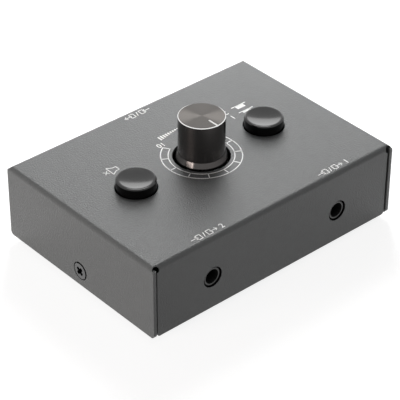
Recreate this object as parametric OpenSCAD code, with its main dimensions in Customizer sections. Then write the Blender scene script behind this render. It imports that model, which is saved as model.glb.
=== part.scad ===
// Desktop volume controller: a folded steel case with one knob, two latching
// buttons, one socket in the front wall and two in the rear wall.
// X runs along the width, Y from the front to the rear, Z up.
// The origin is on the ground, under the middle of the case.
// All lengths are in millimetres.

/* [Case] */
// Width over the two side walls
case_w = 95; // [92:1:110]
// Depth over the front and rear walls
case_d = 67; // [65:1:80]
// Height of the cover, from its lower edge to the panel
case_h = 25; // [24:0.5:32]
// Thickness of the cover sheet with its coating
cover_t = 1.1; // [0.8:0.1:1.4]
// Outer radius of the cover's folds
fold_r = 1.7; // [1.5:0.1:2.5]
// How far the side walls stand past the front and rear faces
side_lip = 0.3; // [0.1:0.1:1]
// Open seam between a side wall and the wall beside it
seam_gap = 0.6; // [0.3:0.1:1]
// Radius of the round relief drilled where two folds meet
relief_r = 1.2; // [0.8:0.1:1.4]
// Depth of the relief's centre below the panel
relief_drop = 0.9; // [0.7:0.1:1.2]
// Height of the small tabs that the side walls keep in the reliefs
tab_rise = 0.5; // [0:0.1:0.8]
// Radius of the lower corners of the side walls
side_corner_r = 1.2; // [0.5:0.1:3]
// Radius of the lower corners of the front and rear walls
end_corner_r = 0.8; // [0.4:0.1:2]

/* [Tray] */
// Thickness of the tray sheet
tray_t = 1; // [0.8:0.1:1.5]
// Height of the tray's upturned sides
tray_side_h = 10.2; // [8.5:0.1:13]
// Outer radius of the tray's folds
tray_fold_r = 1.6; // [1.5:0.1:2.5]
// Gap all round between the tray and the cover
tray_gap = 0.15; // [0.1:0.05:0.3]
// Radius of the upper corners of the tray's sides
tray_corner_r = 2; // [1:0.5:4]

/* [Feet] */
// Diameter of a rubber foot
foot_d = 8; // [6:0.5:12]
// Height of a rubber foot
foot_h = 2; // [1.5:0.5:5]
// Radius of a foot's lower edge
foot_edge_r = 0.6; // [0.3:0.1:1]
// Distance of a foot's centre from the outer faces of the case
foot_inset = 9; // [7:0.5:14]

/* [Knob] */
// Diameter of the knob's body
knob_d = 14.4; // [13.5:0.1:15]
// Height of the knob's top above the panel
knob_rise = 14.1; // [12:0.1:20]
// Diameter of the skirt's lower edge
skirt_d = 15.7; // [15.1:0.1:16.5]
// Height above the panel where the skirt begins to flare
skirt_rise = 1.75; // [1:0.05:4]
// Height of the upright band below the flare
skirt_band = 0.7; // [0.3:0.1:1]
// How far the skirt dips into its hole in the panel
skirt_sink = 0.8; // [0.2:0.1:1]
// Diameter of the hole round the skirt
knob_hole_d = 17.7; // [17:0.1:20]
// Width of the bright cut round the knob's top
rim_w = 0.5; // [0.3:0.05:0.8]
// Drop of the bright cut towards its outer edge
rim_drop = 0.15; // [0.05:0.05:0.4]
// Wall of the knob's shell
knob_wall = 1; // [0.8:0.1:1.2]
// Thickness of the knob's top
knob_roof = 1.2; // [0.8:0.1:2]
// Width of the pointer groove
pointer_w = 0.55; // [0.4:0.05:0.8]
// Depth of the pointer groove
pointer_depth = 0.25; // [0.1:0.05:0.4]
// Distance of the pointer's inner end from the axis
pointer_start = 3.2; // [2:0.1:5]

/* [Potentiometer] */
// Diameter of the control shaft
shaft_d = 6; // [5.5:0.1:6.2]
// Diameter of the bush round the shaft
bush_d = 7; // [6.9:0.1:8]
// How far the bush ends below the panel
bush_drop = 3.1; // [2.9:0.1:5]
// Width and depth of the potentiometer's housing
pot_w = 12.5; // [11.5:0.1:14]
// Height of the cast housing under the bush
pot_cast_h = 3.4; // [2.5:0.1:3.6]
// Height of the ring in which one wiper turns
gang_h = 2.6; // [2.2:0.1:2.8]
// Thickness of a resistive track board
track_t = 1; // [0.8:0.1:1.2]
// Thickness of the steel clamp
clamp_t = 0.5; // [0.4:0.05:0.7]
// Width of a clamp leg
clamp_leg_w = 5; // [3:0.1:6]

/* [Buttons] */
// Distance of a button from the middle of the case
button_x = 25.5; // [24:0.5:30]
// Diameter of a cap at its top
cap_top_d = 12.2; // [11.5:0.1:12.2]
// Diameter of a cap at its lower edge
cap_base_d = 12.5; // [12.3:0.1:12.8]
// Height of a cap above the panel
cap_rise = 3.15; // [2.5:0.05:5]
// Space left over a switch when its button is pressed
cap_room = 2; // [1:0.1:2.5]
// Rounding of the cap's upper rim
cap_rim_r = 0.5; // [0.3:0.05:0.7]
// Width of the flat ring round the dish
cap_land = 0.35; // [0.2:0.05:0.8]
// Depth of the dished top
dish_depth = 0.45; // [0.2:0.05:0.6]
// Wall of a cap
cap_wall = 1.2; // [0.8:0.1:1.4]
// Gap between a cap and its hole in the panel
cap_gap = 0.2; // [0.15:0.05:0.4]
// Full travel of a button
button_travel = 2; // [1:0.1:2.2]

/* [Switches] */
// Width and depth of a switch
switch_w = 8.5; // [8:0.1:9]
// Height of a switch's housing
switch_h = 9; // [8.8:0.1:9.4]
// Width of the square plunger
plunger_w = 3.2; // [3:0.1:3.4]
// Width of the plunger's collar
collar_w = 5.4; // [5:0.1:5.8]
// Diameter of the return spring's wire
spring_wire_d = 0.4; // [0.3:0.05:0.45]
// Mean diameter of the return spring
spring_d = 4; // [3.8:0.1:4.4]
// Turns of the return spring
spring_turns = 6; // [4:1:6]

/* [Sockets] */
// Distance of a rear socket from the side of the case
jack_inset = 22.5; // [18:0.5:27]
// Height of the socket axes above the cover's lower edge
jack_rise = 10.9; // [10.4:0.1:12]
// Diameter of the hole in the wall round a barrel
wall_hole_d = 6.75; // [6.3:0.05:8]
// Diameter of a socket's barrel
barrel_d = 6; // [5.6:0.1:6.2]
// How far the barrel's face lies behind the wall's face
barrel_recess = 0.45; // [0.2:0.05:1]
// Length of the barrel in front of its housing
barrel_l = 3.2; // [2.5:0.1:4]
// Diameter of the plug's bore
bore_d = 3.6; // [3.55:0.05:3.7]
// Diameter of the tapered mouth
mouth_d = 4.8; // [4:0.1:5]
// Depth of the tapered mouth
mouth_depth = 1.5; // [0.5:0.1:2]
// Width of a socket's housing
jack_w = 11; // [10:0.1:12]
// Length of a socket's housing
jack_l = 11.8; // [11.5:0.1:13]
// Height of a housing above the socket's axis
jack_crown = 4; // [3.2:0.1:5]

/* [Screws] */
// Thread diameter of the side screws
screw_d = 3; // [2.5:0.1:3.2]
// Head diameter of the side screws
screw_head_d = 5.8; // [5.2:0.1:6]
// How far a side screw's head lies below the wall's face
screw_sink = 0.1; // [0:0.05:0.6]
// Height of the straight rim of a side screw's head
head_rim = 0.55; // [0.5:0.05:0.7]
// Rounding of the shoulder of a side screw's head
shoulder_r = 0.45; // [0.2:0.05:0.45]
// Length of a side screw
screw_l = 6; // [5:0.5:7]
// Height of the side screws above the cover's lower edge
screw_rise = 4.9; // [4.7:0.1:5.6]
// Outer diameter of the nuts on the tray's sides
nut_d = 6.3; // [5.5:0.1:6.4]
// Length of the nuts on the tray's sides
nut_l = 2; // [1.5:0.1:2.5]

/* [Board] */
// Thickness of the circuit board
board_t = 1.6; // [1.2:0.1:1.8]
// Space between the board and the walls
board_gap = 1.5; // [1.2:0.1:2.5]
// Height of the standoffs under the board
standoff_h = 3.4; // [3.2:0.1:3.8]
// Diameter of a standoff
standoff_d = 5.5; // [5:0.1:6]
// Distance of a standoff from the board's edges
standoff_inset = 5; // [4:0.1:7]
// Thread diameter of the board's screws
board_screw_d = 2.5; // [2:0.1:2.6]
// Head diameter of the board's screws
board_head_d = 4.5; // [4:0.1:5]
// Length of a board screw below its head
board_screw_l = 4.8; // [4:0.1:5]
// How far the soldered tails stand out under the board
tail_l = 1.3; // [1:0.1:2]

/* [Hidden] */
$fn = 64;

// Overrun of every cut past the face that it opens
over = 0.5;
// Running gap between a shaft or plunger and its bore
run_gap = 0.05;
// Gap of pieces that are pressed or clipped together
press_gap = 0.03;
// Gap round a soldered tail in its hole
tail_gap = 0.1;

// Levels, from the ground up
cover_z = foot_h;
panel_z = cover_z + case_h;
tray_floor_z = cover_z + tray_t;
board_z = tray_floor_z + standoff_h;
board_top_z = board_z + board_t;
tail_z = board_z - tail_l;

// Inner faces of the cover and outer size of the tray
wall_x = case_w / 2 - cover_t;
wall_y = case_d / 2 - cover_t;
tray_w = 2 * (wall_x - tray_gap);
tray_d = 2 * (wall_y - tray_gap);
board_w = tray_w - 2 * tray_t - 2 * board_gap;
board_d = 2 * (wall_y - board_gap);

// Side screws, their seats and nuts
screw_z = cover_z + screw_rise;
screw_r = screw_d / 2;
head_r = screw_head_d / 2;
head_x = case_w / 2 - screw_sink;
seat_gap = 0.1;
seat_r = head_r + seat_gap;
seat_z = screw_sink + head_rim;
seat_cone = head_r - screw_r;
nut_x = tray_w / 2 - tray_t;
notch_x = min(head_x - screw_l, nut_x - nut_l) - board_gap;
notch_w = nut_d + 2 * board_gap;
cross_l_share = 0.48;
cross_w_share = 0.16;
cross_depth_share = 0.55;
cross_turn = 40;

// Standoffs and the board's screws
standoff_x = board_w / 2 - standoff_inset;
standoff_y = board_d / 2 - standoff_inset;
standoff_wall = 0.7;
shank_d = standoff_d - 2 * standoff_wall;
board_head_h = 1.6;

// Feet
foot_x = case_w / 2 - foot_inset;
foot_y = case_d / 2 - foot_inset;

// Potentiometer, from the board up
clamp_top_z = board_top_z + clamp_t;
lower_track_z = clamp_top_z;
lower_ring_z = lower_track_z + track_t;
upper_track_z = lower_ring_z + gang_h;
upper_ring_z = upper_track_z + track_t;
pot_cast_z = upper_ring_z + gang_h;
pot_top_z = pot_cast_z + pot_cast_h;
bush_top_z = panel_z - bush_drop;
bush_h = bush_top_z - pot_top_z;
track_w = pot_w - 2 * clamp_t;
ring_wall = 0.9;
wiper_cavity_r = track_w / 2 - ring_wall;
wiper_gap = 0.5;
wiper_t = gang_h - 2 * wiper_gap;
wiper_r = wiper_cavity_r - wiper_gap;
shaft_r = shaft_d / 2;
spindle_r_share = 0.7;
spindle_r = shaft_r * spindle_r_share;
clip_t = 0.6;
clip_z = bush_top_z + run_gap;
clip_bite = 0.24;
clip_groove_r = shaft_r - clip_bite;
clip_wall = 1.1;
clip_mouth_w = 3.4;
flat_share = 0.5;
flat_y = shaft_r * flat_share;
pot_pin_pitch = 2.5;
pot_pin_w = 0.8;
pot_pin_t = 0.4;
lower_pin_y = pot_w / 2 + pot_pin_pitch / 2;
upper_pin_y = lower_pin_y + pot_pin_pitch;
mount_tab_w = 2;
clamp_hook = 1;

// Knob, from the panel up
knob_r = knob_d / 2;
skirt_r = skirt_d / 2;
knob_top_z = panel_z + knob_rise;
knob_low_z = panel_z - skirt_sink;
skirt_top_z = panel_z + skirt_rise;
skirt_band_z = knob_low_z + skirt_band;
knob_bore_r = knob_r - knob_wall;
knob_roof_z = knob_top_z - knob_roof;
shaft_tip_gap = 0.4;
shaft_top_z = knob_roof_z - shaft_tip_gap;
core_lift = 0.8;
core_low_z = panel_z + core_lift;
hub_wall = 1.6;
hub_r = shaft_r + hub_wall;
core_r = knob_bore_r - press_gap;
core_ribs = 6;
rib_t = 1.2;
flat_lead = 0.2;
flat_low_z = core_low_z - flat_lead;

// Buttons and their switches
cap_top_r = cap_top_d / 2;
cap_base_r = cap_base_d / 2;
cap_low_z = board_top_z + switch_h + button_travel + cap_room;
cap_top_z = panel_z + cap_rise;
cap_hole_r = cap_base_r + cap_gap;
dish_r = cap_top_r - cap_rim_r - cap_land;
dish_sphere_r = (dish_r * dish_r + dish_depth * dish_depth) / (2 * dish_depth);
cap_roof = 1.3;
cap_roof_z = cap_top_z - dish_depth - cap_roof;
boss_wall = 1.1;
socket_w = plunger_w + 2 * press_gap;
boss_r = sqrt(2) * socket_w / 2 + boss_wall / 2;
socket_depth_share = 0.8;
plunger_top_z = cap_low_z + (cap_roof_z - cap_low_z) * socket_depth_share;
switch_floor = 1.2;
switch_wall = 1;
lid_t = 0.8;
lid_z = board_top_z + switch_h - lid_t;
switch_floor_z = board_top_z + switch_floor;
collar_h = 1.5;
collar_top_z = lid_z - run_gap;
collar_low_z = collar_top_z - collar_h;
stem_gap = 0.4;
stem_low_z = switch_floor_z + button_travel + stem_gap;
stem_r = (spring_d - spring_wire_d) / 2 - stem_gap;
switch_edge = 0.5;
pin_pitch = 2.5;
pin_d = 0.7;

// Sockets
jack_x = case_w / 2 - jack_inset;
jack_z = cover_z + jack_rise;
jack_y = case_d / 2 - barrel_recess;
jack_drop = jack_z - board_top_z;
jack_back = 0.7;
bore_r = bore_d / 2;
mouth_r = mouth_d / 2;
barrel_r = barrel_d / 2;
leaf_t = 0.3;
leaf_h = 1.4;
leaf_gap = 0.15;
tail_w = 1.2;
leaf_wall = 1.1;
pocket_x = bore_r + leaf_wall;
leaf_x = jack_w / 2 - leaf_t;
tip_share = 0.9;
ring_share = 0.62;
sleeve_share = 0.2;
leaf_span_share = 0.4;
leaf_bend_share = 0.1;
leaf_span = jack_l * leaf_span_share;
leaf_bend = jack_l * leaf_bend_share;

// Resistors on the board
resistor_d = 2.4;
resistor_l = 6.3;
resistor_waist_share = 0.82;
resistor_cap_share = 0.24;
lead_d = 0.6;
lead_span = 10;
lead_lift = 0.2;
resistor_z = board_top_z + resistor_d / 2 + lead_lift;
resistor_x = 12.5;
resistor_y = 11;
resistor_step = 4;

// Places where tails pass through the board
switch_pin_places = [
    for (i = [-1, 1], j = [-1, 0, 1]) [i * pin_pitch, j * pin_pitch]
];
resistor_places = [
    for (s = [-1, 1], k = [0, 1]) [s * resistor_x, resistor_y + k * resistor_step]
];
pot_pin_places = [
    for (y = [lower_pin_y, upper_pin_y], i = [-1, 0, 1]) [i * pot_pin_pitch, -y]
];
jack_tail_places = [
    [leaf_x + leaf_t / 2, -barrel_l - jack_l * tip_share + leaf_span],
    [-leaf_x - leaf_t / 2, -barrel_l - jack_l * ring_share + leaf_span],
    [0, -barrel_l - jack_l * sleeve_share]
];

// Upright door shape with round upper corners, standing on the X axis
module arch(w, h, r) {
    translate([-w / 2, 0]) square([w, h - r]);
    translate([-w / 2 + r, 0]) square([w - 2 * r, h]);
    for (s = [-1, 1]) translate([s * (w / 2 - r), h - r]) circle(r);
}

// Box whose four upper edges are folds of radius r
module folded_box(w, d, h, r) {
    intersection() {
        rotate([90, 0, 0]) linear_extrude(d, center = true) arch(w, h, r);
        rotate([90, 0, 90]) linear_extrude(w, center = true) arch(d, h, r);
    }
}

// Flat strip of constant thickness along a path, with round bends
module strip(points, t) {
    for (p = points) translate(p) circle(t / 2);
    for (i = [0 : len(points) - 2]) {
        step = points[i + 1] - points[i];
        translate(points[i])
            rotate(atan2(step[1], step[0]))
            translate([0, -t / 2]) square([norm(step), t]);
    }
}

// Children at the four corners of a rectangle
module at_corners(x, y) {
    for (i = [-1, 1], j = [-1, 1]) translate([i * x, j * y, 0]) children();
}

// Children on the right side, then turned to the left side
module on_both_sides() {
    for (a = [0, 180]) rotate([0, 0, a]) children();
}

// Room for a side screw: a straight step, the conical seat, then the hole for its thread
module screw_room() {
    translate([case_w / 2, 0, screw_z]) rotate([0, -90, 0]) {
        translate([0, 0, -over]) cylinder(h = seat_z + over, r = seat_r);
        translate([0, 0, seat_z])
            cylinder(h = seat_cone, r1 = head_r + run_gap, r2 = screw_r + run_gap);
        cylinder(h = screw_l + over, r = screw_r + run_gap);
    }
}

// Side wall of the cover, with round lower corners and a tab at each upper end
module side_wall() {
    wall_d = case_d + 2 * side_lip;
    wall_h = case_h - fold_r + tab_rise;
    intersection() {
        translate([wall_x, 0, wall_h])
            rotate([90, 0, 90])
            linear_extrude(cover_t)
            mirror([0, 1]) arch(wall_d, wall_h, side_corner_r);
        rotate([90, 0, 0]) linear_extrude(wall_d, center = true) arch(case_w, case_h, fold_r);
    }
}

// Everything between the front and rear walls' ends, with round lower corners
module end_walls() {
    rotate([90, 0, 0])
        linear_extrude(case_d + 2 * over, center = true) {
            translate([0, case_h - fold_r]) mirror([0, 1])
                arch(2 * (wall_x - seam_gap), case_h - fold_r, end_corner_r);
            translate([-case_w / 2, case_h - fold_r]) square([case_w, fold_r + over]);
        }
}

// Round relief drilled from the corner of the panel towards the middle of the case
module corner_relief() {
    steep = atan(sqrt(2));
    reach = 2 * (cover_t + fold_r);
    translate([wall_x, case_d / 2, panel_z - relief_drop])
        rotate([0, steep, 45])
        translate([0, 0, -reach]) cylinder(h = 2 * reach, r = relief_r);
}

module top_cover() {
    color("#646767")
    difference() {
        union() {
            difference() {
                translate([0, 0, cover_z]) intersection() {
                    folded_box(case_w, case_d, case_h, fold_r);
                    end_walls();
                }
                translate([0, 0, cover_z - over])
                    folded_box(2 * wall_x, 2 * wall_y, case_h - cover_t + over, fold_r - cover_t);
                for (a = [-1, 1], b = [-1, 1]) scale([a, b, 1]) corner_relief();
            }
            on_both_sides() translate([0, 0, cover_z]) side_wall();
        }
        translate([0, 0, panel_z - cover_t - over])
            cylinder(h = cover_t + 2 * over, d = knob_hole_d);
        for (s = [-1, 1])
            translate([s * button_x, 0, panel_z - cover_t - over])
            cylinder(h = cover_t + 2 * over, r = cap_hole_r);
        for (place = [[0, 0], [-jack_x, 180], [jack_x, 180]])
            translate([place[0], 0, jack_z]) rotate([90, 0, place[1]])
            translate([0, 0, wall_y - over])
            cylinder(h = cover_t + 2 * over, d = wall_hole_d);
        on_both_sides() screw_room();
    }
}

module base_tray() {
    color("#5f6262")
    difference() {
        translate([0, 0, cover_z])
            rotate([90, 0, 0])
            linear_extrude(tray_d, center = true)
            difference() {
                translate([0, tray_side_h]) mirror([0, 1])
                    arch(tray_w, tray_side_h, tray_fold_r);
                translate([0, tray_side_h + over]) mirror([0, 1])
                    arch(tray_w - 2 * tray_t, tray_side_h - tray_t + over, tray_fold_r - tray_t);
            }
        for (b = [-1, 1])
            translate([0, b * tray_d / 2, cover_z + tray_side_h]) scale([1, b, 1])
            rotate([90, 0, 90])
            linear_extrude(tray_w + 2 * over, center = true)
            difference() {
                translate([-tray_corner_r, -tray_corner_r])
                    square([tray_corner_r + over, tray_corner_r + over]);
                translate([-tray_corner_r, -tray_corner_r]) circle(tray_corner_r);
            }
        at_corners(standoff_x, standoff_y)
            translate([0, 0, cover_z - over])
            cylinder(h = tray_t + 2 * over, d = shank_d + 2 * press_gap);
        on_both_sides() screw_room();
    }
}

// Round rubber foot with a soft lower edge
module foot(x, y) {
    color("#1b1b1b")
    translate([x, y, 0])
    rotate_extrude()
    union() {
        translate([0, foot_edge_r]) square([foot_d / 2, foot_h - foot_edge_r]);
        square([foot_d / 2 - foot_edge_r, foot_h]);
        translate([foot_d / 2 - foot_edge_r, foot_edge_r]) circle(foot_edge_r);
    }
}

// Cross recess cut into a screw head of diameter d, mouth at z = 0
module cross_recess(d) {
    arm = d * cross_l_share;
    slot = d * cross_w_share;
    depth = d * cross_depth_share / 2;
    for (a = [0, 90]) rotate([0, 0, a])
        translate([-arm / 2, -slot / 2, -depth]) cube([arm, slot, depth + over]);
}

module side_screws() {
    color("#77787a")
    on_both_sides()
    translate([head_x, 0, screw_z]) rotate([0, 90, 0])
    difference() {
        rotate_extrude() union() {
            polygon([
                [0, 0],
                [head_r - shoulder_r, 0],
                [head_r, -shoulder_r],
                [head_r, -head_rim],
                [screw_r, -head_rim - seat_cone],
                [screw_r, -screw_l],
                [0, -screw_l]
            ]);
            translate([head_r - shoulder_r, -shoulder_r]) intersection() {
                circle(shoulder_r);
                square(shoulder_r);
            }
        }
        rotate(cross_turn) cross_recess(screw_head_d);
    }
}

module tray_nuts() {
    nut_flange = nut_l / 2;
    color("#b9bbbd")
    on_both_sides()
    translate([nut_x, 0, screw_z]) rotate([0, -90, 0])
    difference() {
        union() {
            cylinder(h = nut_flange, d = nut_d);
            cylinder(h = nut_l, r = (nut_d / 2 + screw_r) / 2);
        }
        translate([0, 0, -over]) cylinder(h = nut_l + 2 * over, r = screw_r + run_gap);
    }
}

// Round hole through the board
module board_hole(d) {
    translate([0, 0, board_z - over]) cylinder(h = board_t + 2 * over, d = d);
}

module circuit_board() {
    color("#1d5a35")
    difference() {
        translate([-board_w / 2, -board_d / 2, board_z]) cube([board_w, board_d, board_t]);
        on_both_sides()
            translate([notch_x, -notch_w / 2, board_z - over])
            cube([board_w / 2 - notch_x + over, notch_w, board_t + 2 * over]);
        at_corners(standoff_x, standoff_y) board_hole(board_screw_d + 2 * tail_gap);
        for (side = [[0, 180], [-jack_x, 0], [jack_x, 0]], p = jack_tail_places)
            translate([side[0], 0, 0]) rotate([0, 0, side[1]])
            translate([p[0], jack_y + p[1], 0]) board_hole(tail_w + 2 * tail_gap);
        for (s = [-1, 1], p = switch_pin_places)
            translate([s * button_x + p[0], p[1], 0]) board_hole(pin_d + 2 * tail_gap);
        for (p = pot_pin_places) translate(p) board_hole(pot_pin_w + 2 * tail_gap);
        on_both_sides()
            translate([(pot_w - clamp_t) / 2, 0, 0]) board_hole(mount_tab_w + 2 * tail_gap);
        for (p = resistor_places, s = [-1, 1])
            translate([p[0] + s * lead_span / 2, p[1], 0]) board_hole(lead_d + 2 * tail_gap);
    }
}

module board_standoffs() {
    color("#c2c3c5")
    at_corners(standoff_x, standoff_y)
    difference() {
        union() {
            translate([0, 0, tray_floor_z]) cylinder(h = standoff_h, d = standoff_d);
            translate([0, 0, cover_z]) cylinder(h = tray_t, d = shank_d);
        }
        translate([0, 0, cover_z - over])
            cylinder(h = tray_t + standoff_h + 2 * over, d = board_screw_d + 2 * run_gap);
    }
}

module board_screws() {
    color("#c9cacb")
    at_corners(standoff_x, standoff_y)
    translate([0, 0, board_top_z])
    difference() {
        union() {
            cylinder(h = board_head_h / 2, d = board_head_d);
            translate([0, 0, board_head_h / 2])
                cylinder(h = board_head_h / 2, d1 = board_head_d, d2 = board_head_d - board_head_h);
            translate([0, 0, -board_screw_l]) cylinder(h = board_screw_l, d = board_screw_d);
        }
        translate([0, 0, board_head_h]) cross_recess(board_head_d);
    }
}

// Children in a socket's own frame: the barrel's face at the origin, the plug leaving along +Y
module at_jack(x, turn) {
    translate([x, 0, jack_z]) rotate([0, 0, turn]) translate([0, jack_y, 0]) children();
}

// Side pocket for one leaf, its window on the bore and the way down for its tail
module leaf_pocket(side, tip_y) {
    root_y = tip_y + leaf_span;
    window = leaf_h + 2 * leaf_gap;
    scale([side, 1, 1]) {
        translate([pocket_x, tip_y - leaf_bend, -window / 2])
            cube([jack_w, leaf_span + leaf_bend + tail_w / 2 + leaf_gap, window]);
        translate([0, tip_y - leaf_bend / 2, -window / 2]) cube([jack_w, leaf_bend, window]);
        translate([leaf_x - leaf_gap, root_y - tail_w / 2 - leaf_gap, -jack_drop - over])
            cube([jack_w, tail_w + 2 * leaf_gap, jack_drop + over]);
    }
}

// Moulded socket housing with a round barrel, a plug bore and pockets for its contacts
module jack_housing(x, turn) {
    back_y = -barrel_l - jack_l;
    sleeve_y = -barrel_l - jack_l * sleeve_share;
    color("#161616")
    at_jack(x, turn)
    difference() {
        union() {
            rotate([90, 0, 0]) cylinder(h = barrel_l + over, r = barrel_r);
            translate([-jack_w / 2, back_y, -jack_drop]) cube([jack_w, jack_l, jack_drop + jack_crown]);
        }
        translate([0, over, 0]) rotate([90, 0, 0])
            cylinder(h = barrel_l + jack_l - jack_back + over, r = bore_r);
        rotate([90, 0, 0]) cylinder(h = mouth_depth, r1 = mouth_r, r2 = bore_r);
        leaf_pocket(1, -barrel_l - jack_l * tip_share);
        leaf_pocket(-1, -barrel_l - jack_l * ring_share);
        translate([-tail_w / 2 - leaf_gap, sleeve_y - leaf_t / 2 - leaf_gap, -jack_drop - over])
            cube([tail_w + 2 * leaf_gap, leaf_t + 2 * leaf_gap, jack_drop + over]);
    }
}

// Leaf contact: a strip along the pocket whose bent tip meets the plug, and a tail to the board
module leaf_contact(side, tip_y) {
    root_y = tip_y + leaf_span;
    outer_x = leaf_x + leaf_t / 2;
    touch_x = bore_r + leaf_t / 2;
    scale([side, 1, 1]) {
        translate([0, 0, -leaf_h / 2]) linear_extrude(leaf_h) strip([
            [outer_x, root_y + tail_w / 2 - leaf_t / 2],
            [outer_x, tip_y + leaf_bend],
            [touch_x, tip_y],
            [outer_x - leaf_t, tip_y - leaf_bend / 2]
        ], leaf_t);
        translate([leaf_x, root_y - tail_w / 2, tail_z - jack_z])
            cube([leaf_t, tail_w, jack_z - tail_z]);
    }
}

// Tip, ring and sleeve contacts of one socket
module jack_contacts(x, turn) {
    sleeve_y = -barrel_l - jack_l * sleeve_share;
    color("#c8c4b8")
    at_jack(x, turn) {
        leaf_contact(1, -barrel_l - jack_l * tip_share);
        leaf_contact(-1, -barrel_l - jack_l * ring_share);
        translate([-tail_w / 2, sleeve_y - leaf_t / 2, tail_z - jack_z])
            cube([tail_w, leaf_t, jack_z - tail_z - bore_r]);
    }
}

module pot_housing() {
    corner = ring_wall;
    color("#a9abad")
    difference() {
        union() {
            translate([0, 0, pot_cast_z])
                linear_extrude(pot_cast_h)
                intersection() {
                    square(track_w, center = true);
                    rotate(45) square(sqrt(2) * (track_w - corner), center = true);
                }
            translate([0, 0, pot_top_z]) cylinder(h = bush_h, d = bush_d);
        }
        translate([0, 0, pot_cast_z - over])
            cylinder(h = pot_cast_h + bush_h + 2 * over, r = shaft_r + run_gap);
    }
}

// Steel clamp: a foot plate, two legs with turned-over ends, and two tabs through the board
module pot_clamp() {
    leg_x = track_w / 2;
    color("#b4b5b7")
    difference() {
        union() {
            translate([-leg_x, -clamp_leg_w / 2, board_top_z])
                cube([2 * leg_x, clamp_leg_w, clamp_t]);
            on_both_sides() {
                translate([leg_x, -clamp_leg_w / 2, board_top_z])
                    cube([clamp_t, clamp_leg_w, pot_top_z - board_top_z + clamp_t]);
                translate([leg_x - clamp_hook, -clamp_leg_w / 2, pot_top_z])
                    cube([clamp_hook + clamp_t, clamp_leg_w, clamp_t]);
                translate([leg_x, -mount_tab_w / 2, tail_z])
                    cube([clamp_t, mount_tab_w, board_top_z - tail_z]);
            }
        }
        translate([0, 0, board_top_z - over]) cylinder(h = clamp_t + 2 * over, r = spindle_r);
    }
}

// Resistive track board with a round hole for the spindle
module track_board(z) {
    color("#6b4a2b")
    difference() {
        translate([-track_w / 2, -track_w / 2, z]) cube([track_w, track_w, track_t]);
        translate([0, 0, z - over]) cylinder(h = track_t + 2 * over, r = spindle_r + run_gap);
    }
}

// Ring in which one wiper turns
module wiper_ring(z) {
    color("#202020")
    difference() {
        translate([-track_w / 2, -track_w / 2, z]) cube([track_w, track_w, gang_h]);
        translate([0, 0, z - over]) cylinder(h = gang_h + 2 * over, r = wiper_cavity_r);
    }
}

// Three terminals leaving a track board at height z, turned down at y
module terminal_row(z, y) {
    for (i = [-1, 0, 1])
        translate([i * pot_pin_pitch - pot_pin_w / 2, 0, 0])
        rotate([90, 0, 90])
        linear_extrude(pot_pin_w)
        strip([[-(track_w + pot_pin_t) / 2, z], [-y, z], [-y, tail_z]], pot_pin_t);
}

module pot_terminals() {
    color("#c8c4b8") {
        terminal_row(lower_track_z + track_t / 2, lower_pin_y);
        terminal_row(upper_track_z + track_t / 2, upper_pin_y);
    }
}

module volume_shaft() {
    color("#b9babc")
    difference() {
        union() {
            translate([0, 0, lower_track_z])
                cylinder(h = pot_cast_z - lower_track_z, r = spindle_r);
            translate([0, 0, pot_cast_z])
                cylinder(h = shaft_top_z - pot_cast_z, r = shaft_r);
        }
        translate([-shaft_r - over, -shaft_r - over, flat_low_z])
            cube([2 * (shaft_r + over), shaft_r - flat_y + over, shaft_top_z - flat_low_z + over]);
        difference() {
            translate([0, 0, clip_z]) cylinder(h = clip_t, r = shaft_r + over);
            translate([0, 0, clip_z - over]) cylinder(h = clip_t + 2 * over, r = clip_groove_r);
        }
    }
}

module shaft_clip() {
    color("#3b3b3d")
    translate([0, 0, clip_z])
    difference() {
        cylinder(h = clip_t - run_gap, r = clip_groove_r + clip_wall);
        translate([0, 0, -over]) cylinder(h = clip_t + 2 * over, r = clip_groove_r + press_gap);
        translate([-clip_mouth_w / 2, 0, -over])
            cube([clip_mouth_w, shaft_r + clip_wall + over, clip_t + 2 * over]);
    }
}

module pot_wipers() {
    color("#e0ddd2")
    for (z = [lower_ring_z, upper_ring_z])
        translate([0, 0, z + wiper_gap])
        difference() {
            cylinder(h = wiper_t, r = wiper_r);
            translate([0, 0, -over]) cylinder(h = wiper_t + 2 * over, r = spindle_r + press_gap);
        }
}

// Moulded core that holds the shaft by its flat
module knob_core() {
    core_h = knob_roof_z - core_low_z;
    grip_r = shaft_r + press_gap;
    color("#262626")
    translate([0, 0, core_low_z])
    difference() {
        union() {
            cylinder(h = core_h, r = hub_r);
            translate([0, 0, core_h - knob_roof]) cylinder(h = knob_roof, r = core_r);
            intersection() {
                cylinder(h = core_h, r = core_r);
                for (i = [0 : core_ribs / 2 - 1]) rotate([0, 0, i * 360 / core_ribs])
                    translate([-core_r, -rib_t / 2, 0]) cube([2 * core_r, rib_t, core_h]);
            }
        }
        intersection() {
            translate([0, 0, -over])
                cylinder(h = shaft_top_z - core_low_z + press_gap + over, r = grip_r);
            translate([-grip_r, -flat_y - press_gap, -over])
                cube([2 * grip_r, grip_r + flat_y + press_gap, core_h + over]);
        }
    }
}

module knob_shell() {
    color("#2c2c2c")
    difference() {
        rotate_extrude() polygon([
            [0, knob_roof_z],
            [knob_bore_r, knob_roof_z],
            [knob_bore_r, knob_low_z],
            [skirt_r, knob_low_z],
            [skirt_r, skirt_band_z],
            [knob_r, skirt_top_z],
            [knob_r, knob_top_z - rim_drop],
            [knob_r - rim_w, knob_top_z],
            [0, knob_top_z]
        ]);
        translate([-pointer_w / 2, pointer_start, knob_top_z - pointer_depth])
            cube([pointer_w, knob_r - pointer_start + over, pointer_depth + over]);
    }
}

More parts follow.
